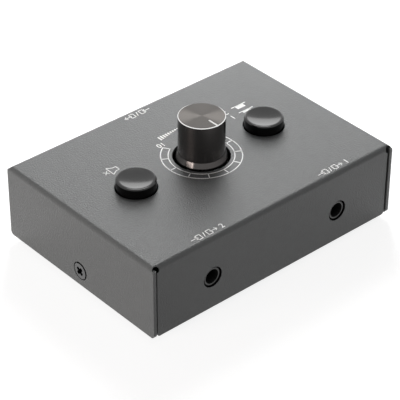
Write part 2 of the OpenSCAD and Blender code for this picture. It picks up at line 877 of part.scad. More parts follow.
// Open box of a latching switch, with blunt upright edges
module switch_body(side) {
    inner = switch_w - 2 * switch_wall;
    color("#e4e2da")
    translate([side * button_x, 0, board_top_z])
    difference() {
        linear_extrude(switch_h - lid_t)
            intersection() {
                square(switch_w, center = true);
                rotate(45) square(sqrt(2) * (switch_w - switch_edge), center = true);
            }
        translate([-inner / 2, -inner / 2, switch_floor]) cube([inner, inner, switch_h]);
    }
}

// Lid of a switch, with a square hole that guides the plunger
module switch_lid(side) {
    hole = plunger_w + 2 * run_gap;
    color("#e4e2da")
    translate([side * button_x, 0, lid_z])
    difference() {
        linear_extrude(lid_t)
            intersection() {
                square(switch_w, center = true);
                rotate(45) square(sqrt(2) * (switch_w - switch_edge), center = true);
            }
        translate([-hole / 2, -hole / 2, -over]) cube([hole, hole, lid_t + 2 * over]);
    }
}

// Six round pins under a switch
module switch_pins(side) {
    color("#c8c4b8")
    for (p = switch_pin_places)
        translate([side * button_x + p[0], p[1], tail_z])
        cylinder(h = board_top_z - tail_z, d = pin_d);
}

// Points of one ring round the spring's wire, at angle a along the coil
function spring_ring(a, z, sides) = [
    for (k = [0 : sides - 1])
        let (b = k * 360 / sides, r = spring_d / 2 + spring_wire_d / 2 * cos(b))
        [r * cos(a), r * sin(a), z + spring_wire_d / 2 * sin(b)]
];

// Return spring of a switch, wound as one unbroken tube between the floor and the collar
module switch_spring(side) {
    sides = 6;
    rings_a_turn = 8;
    rings = spring_turns * rings_a_turn;
    low = switch_floor_z + spring_wire_d / 2;
    high = collar_low_z - spring_wire_d / 2;
    points = [
        for (i = [0 : rings])
        each spring_ring(i * 360 / rings_a_turn, low + (high - low) * i / rings, sides)
    ];
    tube = [
        for (i = [0 : rings - 1], k = [0 : sides - 1])
        let (m = i * sides + k, n = i * sides + (k + 1) % sides)
        each [[m, m + sides, n], [n, m + sides, n + sides]]
    ];
    first = [for (k = [1 : sides - 2]) [0, k, k + 1]];
    last = [for (k = [1 : sides - 2]) [rings * sides, rings * sides + k + 1, rings * sides + k]];
    color("#c9cacb")
    translate([side * button_x, 0, 0])
    polyhedron(points, concat(tube, first, last));
}

// Square plunger with a collar under the lid and a round stem inside the spring
module switch_plunger(side) {
    color("#f0efe9")
    translate([side * button_x, 0, 0])
    union() {
        translate([-plunger_w / 2, -plunger_w / 2, collar_low_z])
            cube([plunger_w, plunger_w, plunger_top_z - collar_low_z]);
        translate([-collar_w / 2, -collar_w / 2, collar_low_z])
            cube([collar_w, collar_w, collar_h]);
        translate([0, 0, stem_low_z]) cylinder(h = collar_low_z - stem_low_z + collar_h, r = stem_r);
    }
}

// Dished cap with a round rim, a thin skirt and a boss that grips the plunger
module button_cap(side) {
    rim_z = cap_top_z - cap_rim_r;
    color("#0e0e0e")
    translate([side * button_x, 0, 0])
    difference() {
        rotate_extrude() difference() {
            union() {
                polygon([
                    [0, cap_low_z],
                    [cap_base_r, cap_low_z],
                    [cap_top_r, rim_z],
                    [cap_top_r - cap_rim_r, cap_top_z],
                    [0, cap_top_z]
                ]);
                translate([cap_top_r - cap_rim_r, rim_z]) circle(cap_rim_r);
            }
            translate([0, cap_top_z - dish_depth + dish_sphere_r]) circle(dish_sphere_r);
            translate([boss_r, cap_low_z - over])
                square([cap_top_r - cap_wall - boss_r, cap_roof_z - cap_low_z + over]);
        }
        translate([-socket_w / 2, -socket_w / 2, cap_low_z - over])
            cube([socket_w, socket_w, plunger_top_z - cap_low_z + press_gap + over]);
    }
}

// Axial resistor with a waisted body and two bent leads
module resistor() {
    end_l = resistor_l * resistor_cap_share;
    lead_x = lead_span / 2;
    translate([0, 0, resistor_z]) rotate([0, 90, 0]) {
        cylinder(h = resistor_l - end_l, d = resistor_d * resistor_waist_share, center = true);
        for (s = [-1, 1])
            translate([0, 0, s * (resistor_l - end_l) / 2])
            cylinder(h = end_l, d = resistor_d, center = true);
        cylinder(h = lead_span, d = lead_d, center = true);
    }
    for (s = [-1, 1]) {
        translate([s * lead_x, 0, tail_z]) cylinder(h = resistor_z - tail_z, d = lead_d);
        translate([s * lead_x, 0, resistor_z]) sphere(d = lead_d);
    }
}

module resistors() {
    color("#4f7fae")
    for (p = resistor_places) translate(p) resistor();
}

top_cover();
base_tray();
foot(-foot_x, -foot_y);  // foot_front_left
foot(foot_x, -foot_y);  // foot_front_right
foot(-foot_x, foot_y);  // foot_rear_left
foot(foot_x, foot_y);  // foot_rear_right
side_screws();
tray_nuts();
circuit_board();
board_standoffs();
board_screws();
jack_housing(0, 180);  // front_jack_housing
jack_housing(-jack_x, 0);  // rear_left_jack_housing
jack_housing(jack_x, 0);  // rear_right_jack_housing
jack_contacts(0, 180);  // front_jack_contacts
jack_contacts(-jack_x, 0);  // rear_left_jack_contacts
jack_contacts(jack_x, 0);  // rear_right_jack_contacts
pot_housing();
pot_clamp();
track_board(upper_track_z);  // pot_upper_track
track_board(lower_track_z);  // pot_lower_track
wiper_ring(upper_ring_z);  // pot_upper_ring
wiper_ring(lower_ring_z);  // pot_lower_ring
pot_terminals();
volume_shaft();
shaft_clip();
pot_wipers();
knob_core();
knob_shell();
switch_body(-1);  // left_switch_body
switch_body(1);  // right_switch_body
switch_lid(-1);  // left_switch_lid
switch_lid(1);  // right_switch_lid
switch_pins(-1);  // left_switch_pins
switch_pins(1);  // right_switch_pins
switch_spring(-1);  // left_switch_spring
switch_spring(1);  // right_switch_spring
switch_plunger(-1);  // left_switch_plunger
switch_plunger(1);  // right_switch_plunger
button_cap(-1);  // left_button_cap
button_cap(1);  // right_button_cap
resistors();
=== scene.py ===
import math

import bpy
from mathutils import Matrix, Vector


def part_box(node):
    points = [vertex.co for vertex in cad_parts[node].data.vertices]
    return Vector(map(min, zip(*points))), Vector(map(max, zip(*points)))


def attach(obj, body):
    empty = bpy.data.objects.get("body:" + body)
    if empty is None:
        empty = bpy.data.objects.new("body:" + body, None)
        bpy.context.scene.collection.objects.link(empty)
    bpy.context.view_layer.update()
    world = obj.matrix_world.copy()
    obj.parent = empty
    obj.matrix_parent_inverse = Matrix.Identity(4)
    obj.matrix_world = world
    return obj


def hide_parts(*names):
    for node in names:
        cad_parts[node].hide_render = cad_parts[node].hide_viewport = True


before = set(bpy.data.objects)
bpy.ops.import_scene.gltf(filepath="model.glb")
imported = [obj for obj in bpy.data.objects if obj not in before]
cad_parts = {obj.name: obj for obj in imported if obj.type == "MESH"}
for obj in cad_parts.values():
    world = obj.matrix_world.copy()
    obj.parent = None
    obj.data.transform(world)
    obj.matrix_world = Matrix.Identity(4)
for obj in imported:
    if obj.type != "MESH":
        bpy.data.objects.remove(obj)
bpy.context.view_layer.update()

MM = 0.001

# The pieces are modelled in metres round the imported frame. These sizes are read off it, and
# the others repeat the CAD source, apart from a few that were fitted to the photograph again:
# the corner relief, the side screws' seats and crosses, the skirt's band and the knob's rim.
COVER_LOW, COVER_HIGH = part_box("top_cover")
KNOB_LOW, KNOB_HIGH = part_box("knob_shell")
CAP_LOW, CAP_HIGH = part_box("right_button_cap")
JACK_LOW, JACK_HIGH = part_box("rear_right_jack_housing")
PANEL_Z = COVER_HIGH.z
COVER_Z = COVER_LOW.z
HALF_W = COVER_HIGH.x
BUTTON_X = (CAP_LOW.x + CAP_HIGH.x) / 2
JACK_X = (JACK_LOW.x + JACK_HIGH.x) / 2

# The four corners of the case, as signs of X and Y.
CORNERS = [(sx, sy) for sx in (-1, 1) for sy in (-1, 1)]

# Cover: sheet, folds, seams and holes. The side walls reach past the front and rear by LIP.
LIP = 0.3 * MM
HALF_D = COVER_HIGH.y - LIP
SHEET = 1.1 * MM
WALL_X = HALF_W - SHEET
FOLD_R = 1.7 * MM
FOLD_Z = PANEL_Z - FOLD_R
FOLD_STEPS = 10
SEAM = 0.6 * MM
RELIEF_R = 0.95 * MM
RELIEF_DROP = 0.9 * MM
TAB_RISE = 0.5 * MM
TAB_INSET = 0.07 * MM
SIDE_CORNER_R = 1.2 * MM
END_CORNER_R = 0.8 * MM
KNOB_HOLE_R = 8.85 * MM
CAP_HOLE_R = 6.45 * MM
WALL_HOLE_R = 3.375 * MM
PAINT_EDGE = 0.15 * MM

# Seat of a side screw: pressed in a little off the screw's centre, towards the upper rear.
SEAT_R = 3.0 * MM
SEAT_SHIFT = 0.35 * MM
SEAT_DEPTH = 0.65 * MM

# Heights of the sockets' and the side screws' middles.
JACK_Z = COVER_Z + 10.9 * MM
SCREW_Z = COVER_Z + 4.9 * MM

# Overrun of a cut, the tolerance used to find faces and edges by their place, the distance
# under which points are one, and the least radius of a ring, which stands in for the axis.
OVER = 1.0 * MM
HAIR = 0.01 * MM
SAME_POINT = 0.0005 * MM
CORE = 0.05 * MM

# Least part of a face's normal along an axis for the face to count as facing along it, as
# being on the outer half of a rounded rim, and as sloping at all. Steps of a quarter round.
FACING = 0.9
OUTER_HALF = 0.5
SLOPING = 0.00001
ROUND_STEPS = 6

# Tray: a channel inside the cover.
TRAY_LOW, TRAY_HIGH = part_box("base_tray")
TRAY_T = 1.0 * MM
TRAY_FOLD_R = 1.6 * MM
TRAY_FOLD_STEPS = 8
TRAY_CORNER_R = 2.0 * MM
TRAY_EDGE = 0.12 * MM
TRAY_SCREW_HOLE_R = 2.3 * MM
STANDOFF_HOLE_R = 2.08 * MM
STANDOFF_FLANGE_R = 2.75 * MM

# Feet.
FOOT_EDGE_R = 0.6 * MM
TREAD_HOLLOW = 0.15 * MM

# Knob.
KNOB_R = 7.2 * MM
SKIRT_R = 7.85 * MM
SKIRT_TOP_Z = PANEL_Z + 1.75 * MM
SKIRT_BAND = 0.95 * MM
SKIRT_EDGE = 0.1 * MM
KNOB_WALL = 1.0 * MM
KNOB_ROOF = 1.2 * MM
RIM_W = 0.24 * MM
RIM_DROP = 0.15 * MM
POINTER_W = 0.55 * MM
POINTER_START = 3.2 * MM
POINTER_DEPTH = 0.25 * MM

# Buttons.
CAP_TOP_R = 6.1 * MM
CAP_RIM_R = 0.5 * MM
DISH_R = 5.25 * MM
DISH_DEPTH = 0.45 * MM
DISH_RINGS = (1.03, 0.99, 0.95, 0.85, 0.7, 0.5, 0.3, 0.12, 0)

# Sockets, measured from the barrel's face.
BARREL_R = 3.0 * MM
BARREL_RECESS = 0.45 * MM
BARREL_EDGE = 0.12 * MM
BARREL_L = 3.2 * MM
MOUTH_R = 2.4 * MM
MOUTH_DEPTH = 1.5 * MM
BORE_R = 1.8 * MM
BORE_DEPTH = 14.3 * MM
HOUSING_EDGE = 0.3 * MM

# Side screws.
HEAD_R = 2.9 * MM
HEAD_SINK = 0.1 * MM
HEAD_RIM = 0.55 * MM
SHOULDER_R = 0.45 * MM
SHOULDER_SLOPE = 0.98
SCREW_R = 1.5 * MM
SCREW_L = 6.0 * MM
CROSS_L = 3.0 * MM
CROSS_W = 1.15 * MM
CROSS_DEPTH = 1.5 * MM
CROSS_TURN = math.radians(40)

# Printing on the panel.
INK = 0.03 * MM
LINE = 0.34 * MM
THIN = 0.28 * MM
RING_OUTER = 12.35 * MM
RING_INNER = 10.05 * MM
DIAL_START = -60
DIAL_SWEEP = 300
DIAL_STEP = 30
DIGIT_H = 2.0 * MM
DIGIT_SHARE = 0.7
DIGIT_WEIGHT = 0.02 * MM
ARROW_HEAD = 0.9 * MM
ARROW_SPREAD = 0.75

# Places of the printing on the panel in millimetres, from a fit to the photograph.
DIAL_NUMBERS = (("0", (-6.0, -12.1)), ("10", (6.0, -12.1)))

# Level sign: number of bars, the first one's lower left corner, their pitch and width, the
# first one's height and the rise from bar to bar.
BARS = 9
BAR_LEFT, BAR_BASE = -4.2, -16.0
BAR_PITCH, BAR_W = 0.95, 0.55
BAR_H, BAR_RISE = 0.3, 0.21

# Push signs: ends of the base line and of the cap, then for each state the line's height, the
# cap's rise, the number and its place.
PUSH_LINE = (-30.0, -24.2)
PUSH_CAP = (-28.7, -25.5)
PUSH_STATES = ((-10.0, 0.95, "1", (-21.2, -9.4)), (-13.5, 1.75, "2", (-21.1, -12.6)))

# Crossed loudspeaker: height of its middle, its outline and its cross.
MUTE_Y = -11.3
SPEAKER = ((23.4, -0.9), (24.6, -0.9), (26.3, -1.95), (26.3, 1.95), (24.6, 0.9), (23.4, 0.9))
MUTE_CROSS = (((26.9, -0.75), (28.4, 0.75)), ((26.9, 0.75), (28.4, -0.75)))

# In and out signs: where they stand, half the size of a box, each box's middle with its arrow's
# start and end, half the divider's lean, the shift beside a number, and the number's place.
FRONT_SIGN_Y, REAR_SIGN_Y = -30.3, 30.7
BOX_W, BOX_H = 0.75, 1
BOXES = ((-1.9, -4.9, -2.3), (1.9, 2.2, 4.9))
DIVIDER = 0.35
NUMBERED_SHIFT = -1.0
SIGN_NUMBER_X = 5.6

# Camera: the photograph's viewing angle, from a fit to the cover's edges.
CAMERA_AZIMUTH = math.radians(48.58)
CAMERA_ELEVATION = math.radians(35.32)
CAMERA_ROLL = math.radians(0.277)
CAMERA_DISTANCE = 580.67 * MM
CAMERA_AIM = Vector((-2.349, -3.258, 7.641)) * MM
CAMERA_LENS = 169.5
SENSOR = 36

# Studio: the floor's size in metres and its grey, its own light where the camera or gloss sees
# it, and the room's light on matt surfaces.
FLOOR_SIZE = 6
FLOOR_GREY = "#b0b0b0"
FLOOR_WHITE = 0.85
ROOM_LIGHT = 0.13

# Soft lamps: name, azimuth, elevation and distance as seen from the panel, width, height,
# radiance, colour, then whether it lights matt surfaces and whether gloss mirrors it. The key
# gives the panel its fall of light, the overhead the sheen on the dished caps, the rear and
# side lamps the two walls, and the strip the upright streak on the knob.
LAMPS = (
    ("key", 229, 35, 0.31, 0.13, 0.17, 16, "#ffffff", True, False),
    ("overhead", 229, 66, 0.45, 0.22, 0.135, 9.5, "#ffffff", False, True),
    ("rear", 229, 20, 0.5, 0.42, 0.17, 2.2, "#ffffff", True, True),
    ("side", -2, 8, 0.9, 0.44, 0.26, 14, "#fff6f2", True, False),
    ("strip", -2, 8, 0.7, 0.35, 0.22, 18, "#fff2ec", False, True),
)


def linear(hex_colour):
    """sRGB hex text to a linear colour with alpha."""
    channels = [int(hex_colour[i:i + 2], 16) / 255 for i in (1, 3, 5)]
    curve = [c / 12.92 if c <= 0.04045 else ((c + 0.055) / 1.055) ** 2.4 for c in channels]
    return (*curve, 1.0)


def add_node(tree, kind, settings=None, links=None):
    """One shader node: settings are properties or socket values, links feed its sockets."""
    made = tree.nodes.new(kind)
    for key, value in (settings or {}).items():
        if isinstance(key, int) or key in made.inputs:
            made.inputs[key].default_value = value
        else:
            setattr(made, key, value)
    for key, source in (links or {}).items():
        tree.links.new(source, made.inputs[key])
    return made


def new_material(name):
    """Empty node material, and its tree to fill."""
    made = bpy.data.materials.new(name)
    made.use_nodes = True
    made.node_tree.nodes.clear()
    return made, made.node_tree


def close_material(tree, shader):
    """Joins the shader to the material's output."""
    add_node(tree, "ShaderNodeOutputMaterial", links={"Surface": shader.outputs[0]})


def surface(made, settings, links):
    """Finishes a material with one Principled shader and returns it."""
    tree = made.node_tree
    close_material(tree, add_node(tree, "ShaderNodeBsdfPrincipled", settings, links))
    return made


def colour_ramp(tree, factor, stops):
    """Colour ramp from (place, hex) stops."""
    ramp = add_node(tree, "ShaderNodeValToRGB", links={"Fac": factor})
    elements = ramp.color_ramp.elements
    while len(elements) < len(stops):
        elements.new(0.5)
    for element, (place, colour) in zip(elements, stops):
        element.position = place
        element.color = linear(colour)
    return ramp.outputs["Color"]


def value_range(tree, value, low, high):
    """Spreads a 0 to 1 value over low to high."""
    made = add_node(tree, "ShaderNodeMapRange", {"To Min": low, "To Max": high}, {"Value": value})
    return made.outputs["Result"]


def grain(tree, size_mm, detail=2.0):
    """Noise in object space whose features are about size_mm across."""
    place = add_node(tree, "ShaderNodeTexCoord")
    made = add_node(
        tree,
        "ShaderNodeTexNoise",
        {"Scale": 1 / (size_mm * MM), "Detail": detail},
        {"Vector": place.outputs["Object"]},
    )
    return made.outputs["Fac"]


def bump(tree, height, depth_mm, strength=1.0):
    """Bump of a given depth in millimetres."""
    settings = {"Strength": strength, "Distance": depth_mm * MM}
    return add_node(tree, "ShaderNodeBump", settings, {"Height": height}).outputs["Normal"]


def powder_coat(name, dark, mid, light):
    """Polyester powder coat on steel: an even grey whose fine orange peel breaks up the sheen."""
    made, tree = new_material(name)
    mottle = grain(tree, 2.2, 3)
    peel = grain(tree, 0.5)
    return surface(
        made,
        {"IOR": 1.5},
        {
            "Base Color": colour_ramp(tree, mottle, [(0.3, dark), (0.5, mid), (0.7, light)]),
            "Roughness": value_range(tree, peel, 0.3, 0.38),
            "Normal": bump(tree, peel, 0.15),
        },
    )


def moulded_rubber():
    """Moulded rubber: nearly black, matt, with a faint dusty bloom."""
    made, tree = new_material("moulded_rubber")
    bloom = grain(tree, 1.1, 4)
    return surface(
        made,
        {"IOR": 1.52},
        {
            "Base Color": colour_ramp(tree, bloom, [(0.3, "#161616"), (0.75, "#232322")]),
            "Roughness": value_range(tree, bloom, 0.7, 0.9),
            "Normal": bump(tree, grain(tree, 0.25), 0.02, 0.5),
        },
    )


def polished_black_abs():
    """Polished black ABS: a deep black that mirrors the room, with faint handling haze."""
    made, tree = new_material("polished_black_abs")
    haze = grain(tree, 2.5, 4)
    return surface(
        made,
        {"IOR": 1.54},
        {
            "Base Color": colour_ramp(tree, haze, [(0.3, "#050505"), (0.8, "#090909")]),
            "Roughness": value_range(tree, haze, 0.1, 0.16),
            "Normal": bump(tree, grain(tree, 3.0, 1), 0.01, 0.3),
        },
    )


def moulded_black_nylon():
    """Glass filled black nylon: dark and satin, with a fine mould grain."""
    made, tree = new_material("moulded_black_nylon")
    mould = grain(tree, 0.3)
    return surface(
        made,
        {"IOR": 1.53},
        {
            "Base Color": colour_ramp(tree, mould, [(0.3, "#090909"), (0.8, "#111111")]),
            "Roughness": value_range(tree, mould, 0.2, 0.35),
            "Normal": bump(tree, mould, 0.012, 0.5),
        },
    )


def lathe_tangent(tree):
    """Direction of the lathe's cut about the Z axis, for stretched highlights."""
    place = add_node(tree, "ShaderNodeTexCoord")
    round_z = add_node(
        tree, "ShaderNodeVectorMath", {"operation": "CROSS_PRODUCT", 0: (0, 0, 1)},
        {1: place.outputs["Object"]},
    )
    unit = add_node(
        tree, "ShaderNodeVectorMath", {"operation": "NORMALIZE"}, {0: round_z.outputs["Vector"]}
    )
    world = add_node(
        tree, "ShaderNodeVectorTransform",
        {"vector_type": "VECTOR", "convert_from": "OBJECT", "convert_to": "WORLD"},
        {"Vector": unit.outputs["Vector"]},
    )
    return world.outputs["Vector"]


def lathe_rings(tree, groove_mm):
    """Fine uneven rings about the Z axis, as a cutting tool leaves them."""
    place = add_node(tree, "ShaderNodeTexCoord")
    parts = add_node(tree, "ShaderNodeSeparateXYZ", links={"Vector": place.outputs["Object"]})
    flat = add_node(
        tree, "ShaderNodeCombineXYZ", links={"X": parts.outputs["X"], "Y": parts.outputs["Y"]}
    )
    radius = add_node(
        tree, "ShaderNodeVectorMath", {"operation": "LENGTH"}, {0: flat.outputs["Vector"]}
    )
    both = add_node(
        tree, "ShaderNodeMath", {"operation": "ADD"},
        {0: radius.outputs["Value"], 1: parts.outputs["Z"]},
    )
    rings = add_node(
        tree, "ShaderNodeTexNoise",
        {"noise_dimensions": "1D", "Scale": 1 / (groove_mm * MM), "Detail": 3},
        {"W": both.outputs["Value"]},
    )
    return rings.outputs["Fac"]


def turned_metal(
    name, dark, light, rough_low, rough_high, groove_mm, depth_mm, stretch=0.8, turn=0.25
):
    """Metal turned on a lathe: fine rings about the axis that stretch the highlights."""
    made, tree = new_material(name)
    rings = lathe_rings(tree, groove_mm)
    return surface(
        made,
        {"Metallic": 1.0, "Anisotropic": stretch, "Anisotropic Rotation": turn},
        {
            "Base Color": colour_ramp(tree, rings, [(0.3, dark), (0.7, light)]),
            "Roughness": value_range(tree, rings, rough_low, rough_high),
            "Normal": bump(tree, rings, depth_mm, 0.4),
            "Tangent": lathe_tangent(tree),
        },
    )


def zinc_plate(name, dark, light):
    """Zinc plated steel: a cool metal grey, slightly blotched by the passivation."""
    made, tree = new_material(name)
    blotch = grain(tree, 0.8, 4)
    return surface(
        made,
        {"Metallic": 1.0},
        {
            "Base Color": colour_ramp(tree, blotch, [(0.3, dark), (0.8, light)]),
            "Roughness": value_range(tree, blotch, 0.32, 0.5),
            "Normal": bump(tree, grain(tree, 0.2), 0.008, 0.4),
        },
    )


def plain_moulding(name, low, high, rough_low, rough_high, shine=0.5):
    """Moulded plastic or lacquer: even colour, soft satin, faint mould grain."""
    made, tree = new_material(name)
    mould = grain(tree, 0.5, 3)
    return surface(
        made,
        {"IOR": 1.5, "Specular IOR Level": shine},
        {
            "Base Color": colour_ramp(tree, mould, [(0.3, low), (0.8, high)]),
            "Roughness": value_range(tree, mould, rough_low, rough_high),
            "Normal": bump(tree, mould, 0.01, 0.4),
        },
    )


def screen_ink():
    """White epoxy screen ink: opaque, slightly uneven where the mesh left it thin."""
    made, tree = new_material("screen_ink")
    thin = grain(tree, 0.3)
    return surface(
        made,
        {"IOR": 1.5},
        {
            "Base Color": colour_ramp(tree, thin, [(0.25, "#eaeae8"), (0.5, "#fbfbfa")]),
            "Roughness": value_range(tree, thin, 0.5, 0.65),
        },
    )


# The case: neutral dark grey with a soft sheen. The tray is a shaded copy of it, painted darker for
# the shade it lies in behind the seams.
COVER_COAT = powder_coat("powder_coat", "#555757", "#575959", "#595b5b")
TRAY_COAT_PAINTED_SHADE = powder_coat("powder_coat_tray_painted_shade", "#505252", "#525454", "#545656")
# Painted shade on the steel behind the screws, under the cover and in the sockets' holes: black,
# with hardly any shine.
PAINTED_SHADE_BLACK = plain_moulding("painted_shade_black", "#050505", "#080808", 0.6, 0.75, shine=0.03)
# Feet: matt black. Button caps: mirror black above; the side below the rim is painted shade, a
# duller, deeper black.
RUBBER = moulded_rubber()
BLACK_ABS = polished_black_abs()
ABS_SIDE_PAINTED_SHADE = plain_moulding("abs_side_painted_shade", "#030303", "#050505", 0.2, 0.3, shine=0.15)
# Sockets: satin black barrels; the mouth and bore are painted shade, a duller, deeper black.
NYLON = moulded_black_nylon()
NYLON_BORE_PAINTED_SHADE = plain_moulding("nylon_bore_painted_shade", "#040404", "#060606", 0.6, 0.8, shine=0.1)
# Knob: brown black side with upright streaks, a paler top with a fan of light and a bright rim.
ANODISED = turned_metal("black_anodised_side", "#4c4a49", "#53504f", 0.2, 0.26, 0.3, 0.001)
TURNED_TOP = turned_metal(
    "turned_anodised_top", "#53504e", "#615e5b", 0.34, 0.42, 0.12, 0.002, stretch=0.9, turn=0
)
BRIGHT_CUT = turned_metal(
    "diamond_cut_aluminium", "#f0f0ef", "#f8f8f7", 0.12, 0.2, 0.1, 0.001, stretch=0.2
)
# Side screws: grey black plate on the head; painted shade in dead black in the recess, on the neck
# and on the shoulder's upper side.
BLACK_ZINC = zinc_plate("black_zinc_plate", "#6a6a6a", "#767676")
SCREW_PAINTED_SHADE = plain_moulding("screw_painted_shade", "#040404", "#070707", 0.5, 0.7, shine=0.03)
# Printing: clean white, a little thin in places.
SCREEN_INK = screen_ink()
# Inside: bright fixings and contacts, grey casting, green board, brown tracks, pale nylon,
# black mouldings and blue resistors.
ZINC = zinc_plate("zinc_plate", "#8a8b8c", "#a6a7a8")
TIN = turned_metal("tinned_bronze", "#b5b0a2", "#c9c5b8", 0.25, 0.4, 0.5, 0.002)
CAST = plain_moulding("cast_zinc", "#7e7f80", "#8f9091", 0.4, 0.6)
LAMINATE = plain_moulding("solder_mask", "#123f24", "#174a2b", 0.3, 0.45)
PHENOLIC = plain_moulding("phenolic_paper", "#6a4526", "#7b532f", 0.5, 0.65)
NATURAL = plain_moulding("natural_nylon", "#d8d5ca", "#e4e1d7", 0.35, 0.5)
BLACK_MOULD = plain_moulding("black_moulding", "#141414", "#1d1d1d", 0.4, 0.55)
LACQUER = plain_moulding("resistor_lacquer", "#3f73a6", "#4b82b6", 0.2, 0.35)


def deselect():
    """Leaves edit mode and clears the selection."""
    if bpy.context.object and bpy.context.object.mode != "OBJECT":
        bpy.ops.object.mode_set(mode="OBJECT")
    bpy.ops.object.select_all(action="DESELECT")


def only(piece):
    """Makes one piece the selected and active one."""
    deselect()
    piece.select_set(True)
    bpy.context.view_layer.objects.active = piece


def settle(piece):
    """Bakes the object's own place into its mesh, so that it sits at the origin."""
    only(piece)
    bpy.ops.object.transform_apply(location=True, rotation=True, scale=True)
    return piece


def named(name):
    """The object just added, under its own name."""
    piece = bpy.context.object
    piece.name = name
    piece.data.name = name
    return settle(piece)


def pick(piece, kind, test):
    """In edit mode, selects the faces, edges or vertices of a piece that pass a test."""
    only(piece)
    bpy.ops.object.mode_set(mode="EDIT")
    bpy.ops.mesh.select_all(action="DESELECT")
    bpy.ops.mesh.select_mode(type=kind)
    bpy.ops.object.mode_set(mode="OBJECT")
    mesh = piece.data
    if kind == "FACE":
        for face in mesh.polygons:
            face.select = test(face.center, face.normal)
    elif kind == "EDGE":
        for edge in mesh.edges:
            a, b = (mesh.vertices[i].co for i in edge.vertices)
            edge.select = test(a, b)
    else:
        for vertex in mesh.vertices:
            vertex.select = test(vertex.co)
    bpy.ops.object.mode_set(mode="EDIT")


def add_modifier(piece, kind, **settings):
    """Adds one modifier and applies it."""
    only(piece)
    made = piece.modifiers.new(kind, kind)
    for key, value in settings.items():
        setattr(made, key, value)
    bpy.ops.object.modifier_apply(modifier=made.name)


def smooth(piece, angle=30):
    """Shades a piece smoothly, apart from sharper edges, and keeps its large faces flat."""
    only(piece)
    bpy.ops.object.shade_smooth_by_angle(angle=math.radians(angle))
    add_modifier(piece, "WEIGHTED_NORMAL", keep_sharp=True, weight=90)


def soften(piece, width):
    """Rounds every edge sharper than 40 degrees and shades the piece smoothly."""
    add_modifier(
        piece, "BEVEL", width=width, segments=2, limit_method="ANGLE",
        angle_limit=math.radians(40), harden_normals=False, use_clamp_overlap=True,
    )
    smooth(piece, 50)


def outward(piece):
    """Merges doubles and turns every face outwards."""
    only(piece)
    bpy.ops.object.mode_set(mode="EDIT")
    bpy.ops.mesh.select_all(action="SELECT")
    bpy.ops.mesh.remove_doubles(threshold=SAME_POINT)
    bpy.ops.mesh.normals_make_consistent(inside=False)
    deselect()


def paint(piece, material):
    """Gives a piece its one material."""
    piece.data.materials.clear()
    piece.data.materials.append(material)


def assign(piece, index, test):
    """Gives the faces that pass a test the piece's material of that number."""
    pick(piece, "FACE", test)
    piece.active_material_index = index
    bpy.ops.object.material_slot_assign()
    deselect()


def place(piece, body, slot, *nodes):
    """Fixes a finished piece to its body and hides the nodes that it stands for. The slot is not
    used.
    """
    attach(piece, body)
    if nodes:
        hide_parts(*nodes)
    return piece


def cut(piece, cutter):
    """Takes the cutter's shape out of a piece and removes the cutter."""
    add_modifier(piece, "BOOLEAN", operation="DIFFERENCE", solver="EXACT", object=cutter)
    bpy.data.objects.remove(cutter)


def fuse(piece, other):
    """Adds another piece's shape to a piece and removes the other."""
    add_modifier(piece, "BOOLEAN", operation="UNION", solver="EXACT", object=other)
    bpy.data.objects.remove(other)


def joined(pieces):
    """Joins pieces, each with its own mesh, into the first of them."""
    deselect()
    for piece in pieces:
        piece.select_set(True)
    bpy.context.view_layer.objects.active = pieces[0]
    bpy.ops.object.join()
    return pieces[0]


def drum(name, radius, depth, centre, axis="Z", sides=96):
    """Plain drum used as a cutter, lying along one axis."""
    turn = {"X": (0, math.pi / 2, 0), "Y": (-math.pi / 2, 0, 0), "Z": (0, 0, 0)}[axis]
    deselect()
    bpy.ops.mesh.primitive_cone_add(
        vertices=sides, radius1=radius, radius2=radius, depth=depth, location=centre, rotation=turn
    )
    return named(name)


def block(name, low, high):
    """Plain block between two corners, used as a start or as a cutter."""
    low, high = Vector(low), Vector(high)
    deselect()
    bpy.ops.mesh.primitive_cube_add(size=1, location=(low + high) / 2)
    bpy.context.object.scale = high - low
    return named(name)


def turned(name, rings, sides=128):
    """Turned solid: a disc extruded and resized from ring to ring of (radius, height)."""
    first_r, first_z = rings[0]
    deselect()
    bpy.ops.mesh.primitive_circle_add(
        vertices=sides, radius=max(first_r, CORE), fill_type="NOTHING", location=(0, 0, first_z)
    )
    bpy.ops.object.mode_set(mode="EDIT")
    bpy.ops.mesh.select_mode(type="EDGE")
    bpy.ops.mesh.select_all(action="SELECT")
    bpy.ops.mesh.edge_face_add()
    for (r0, z0), (r1, z1) in zip(rings, rings[1:]):
        grow = max(r1, CORE) / max(r0, CORE)
        bpy.ops.mesh.extrude_region_move(TRANSFORM_OT_translate={"value": (0, 0, z1 - z0)})
        bpy.ops.transform.resize(value=(grow, grow, 1), center_override=(0, 0, z1))
    bpy.ops.object.mode_set(mode="OBJECT")
    piece = named(name)
    outward(piece)
    return piece


def quarter_turn():
    """Angles of the steps of a quarter round."""
    return [math.pi / 2 * step / ROUND_STEPS for step in range(ROUND_STEPS + 1)]


def round_rim(radius, top, rounding):
    """Rings of a quarter round that leads from a turned side to its top."""
    return [
        (radius - rounding * (1 - math.cos(a)), top - rounding * (1 - math.sin(a)))
        for a in quarter_turn()
    ]


def move_mesh(piece, offset):
    """Moves a piece by moving its mesh."""
    piece.location = offset
    return settle(piece)


def turn_mesh(piece, angle, axis):
    """Turns a piece's mesh about the origin."""
    pick(piece, "FACE", lambda c, n: True)
    bpy.ops.transform.rotate(value=angle, orient_axis=axis, center_override=(0, 0, 0))
    deselect()


def direction(azimuth, elevation):
    """Unit vector that points away from the object at these angles, in radians."""
    level = math.cos(elevation)
    return Vector((level * math.cos(azimuth), level * math.sin(azimuth), math.sin(elevation)))


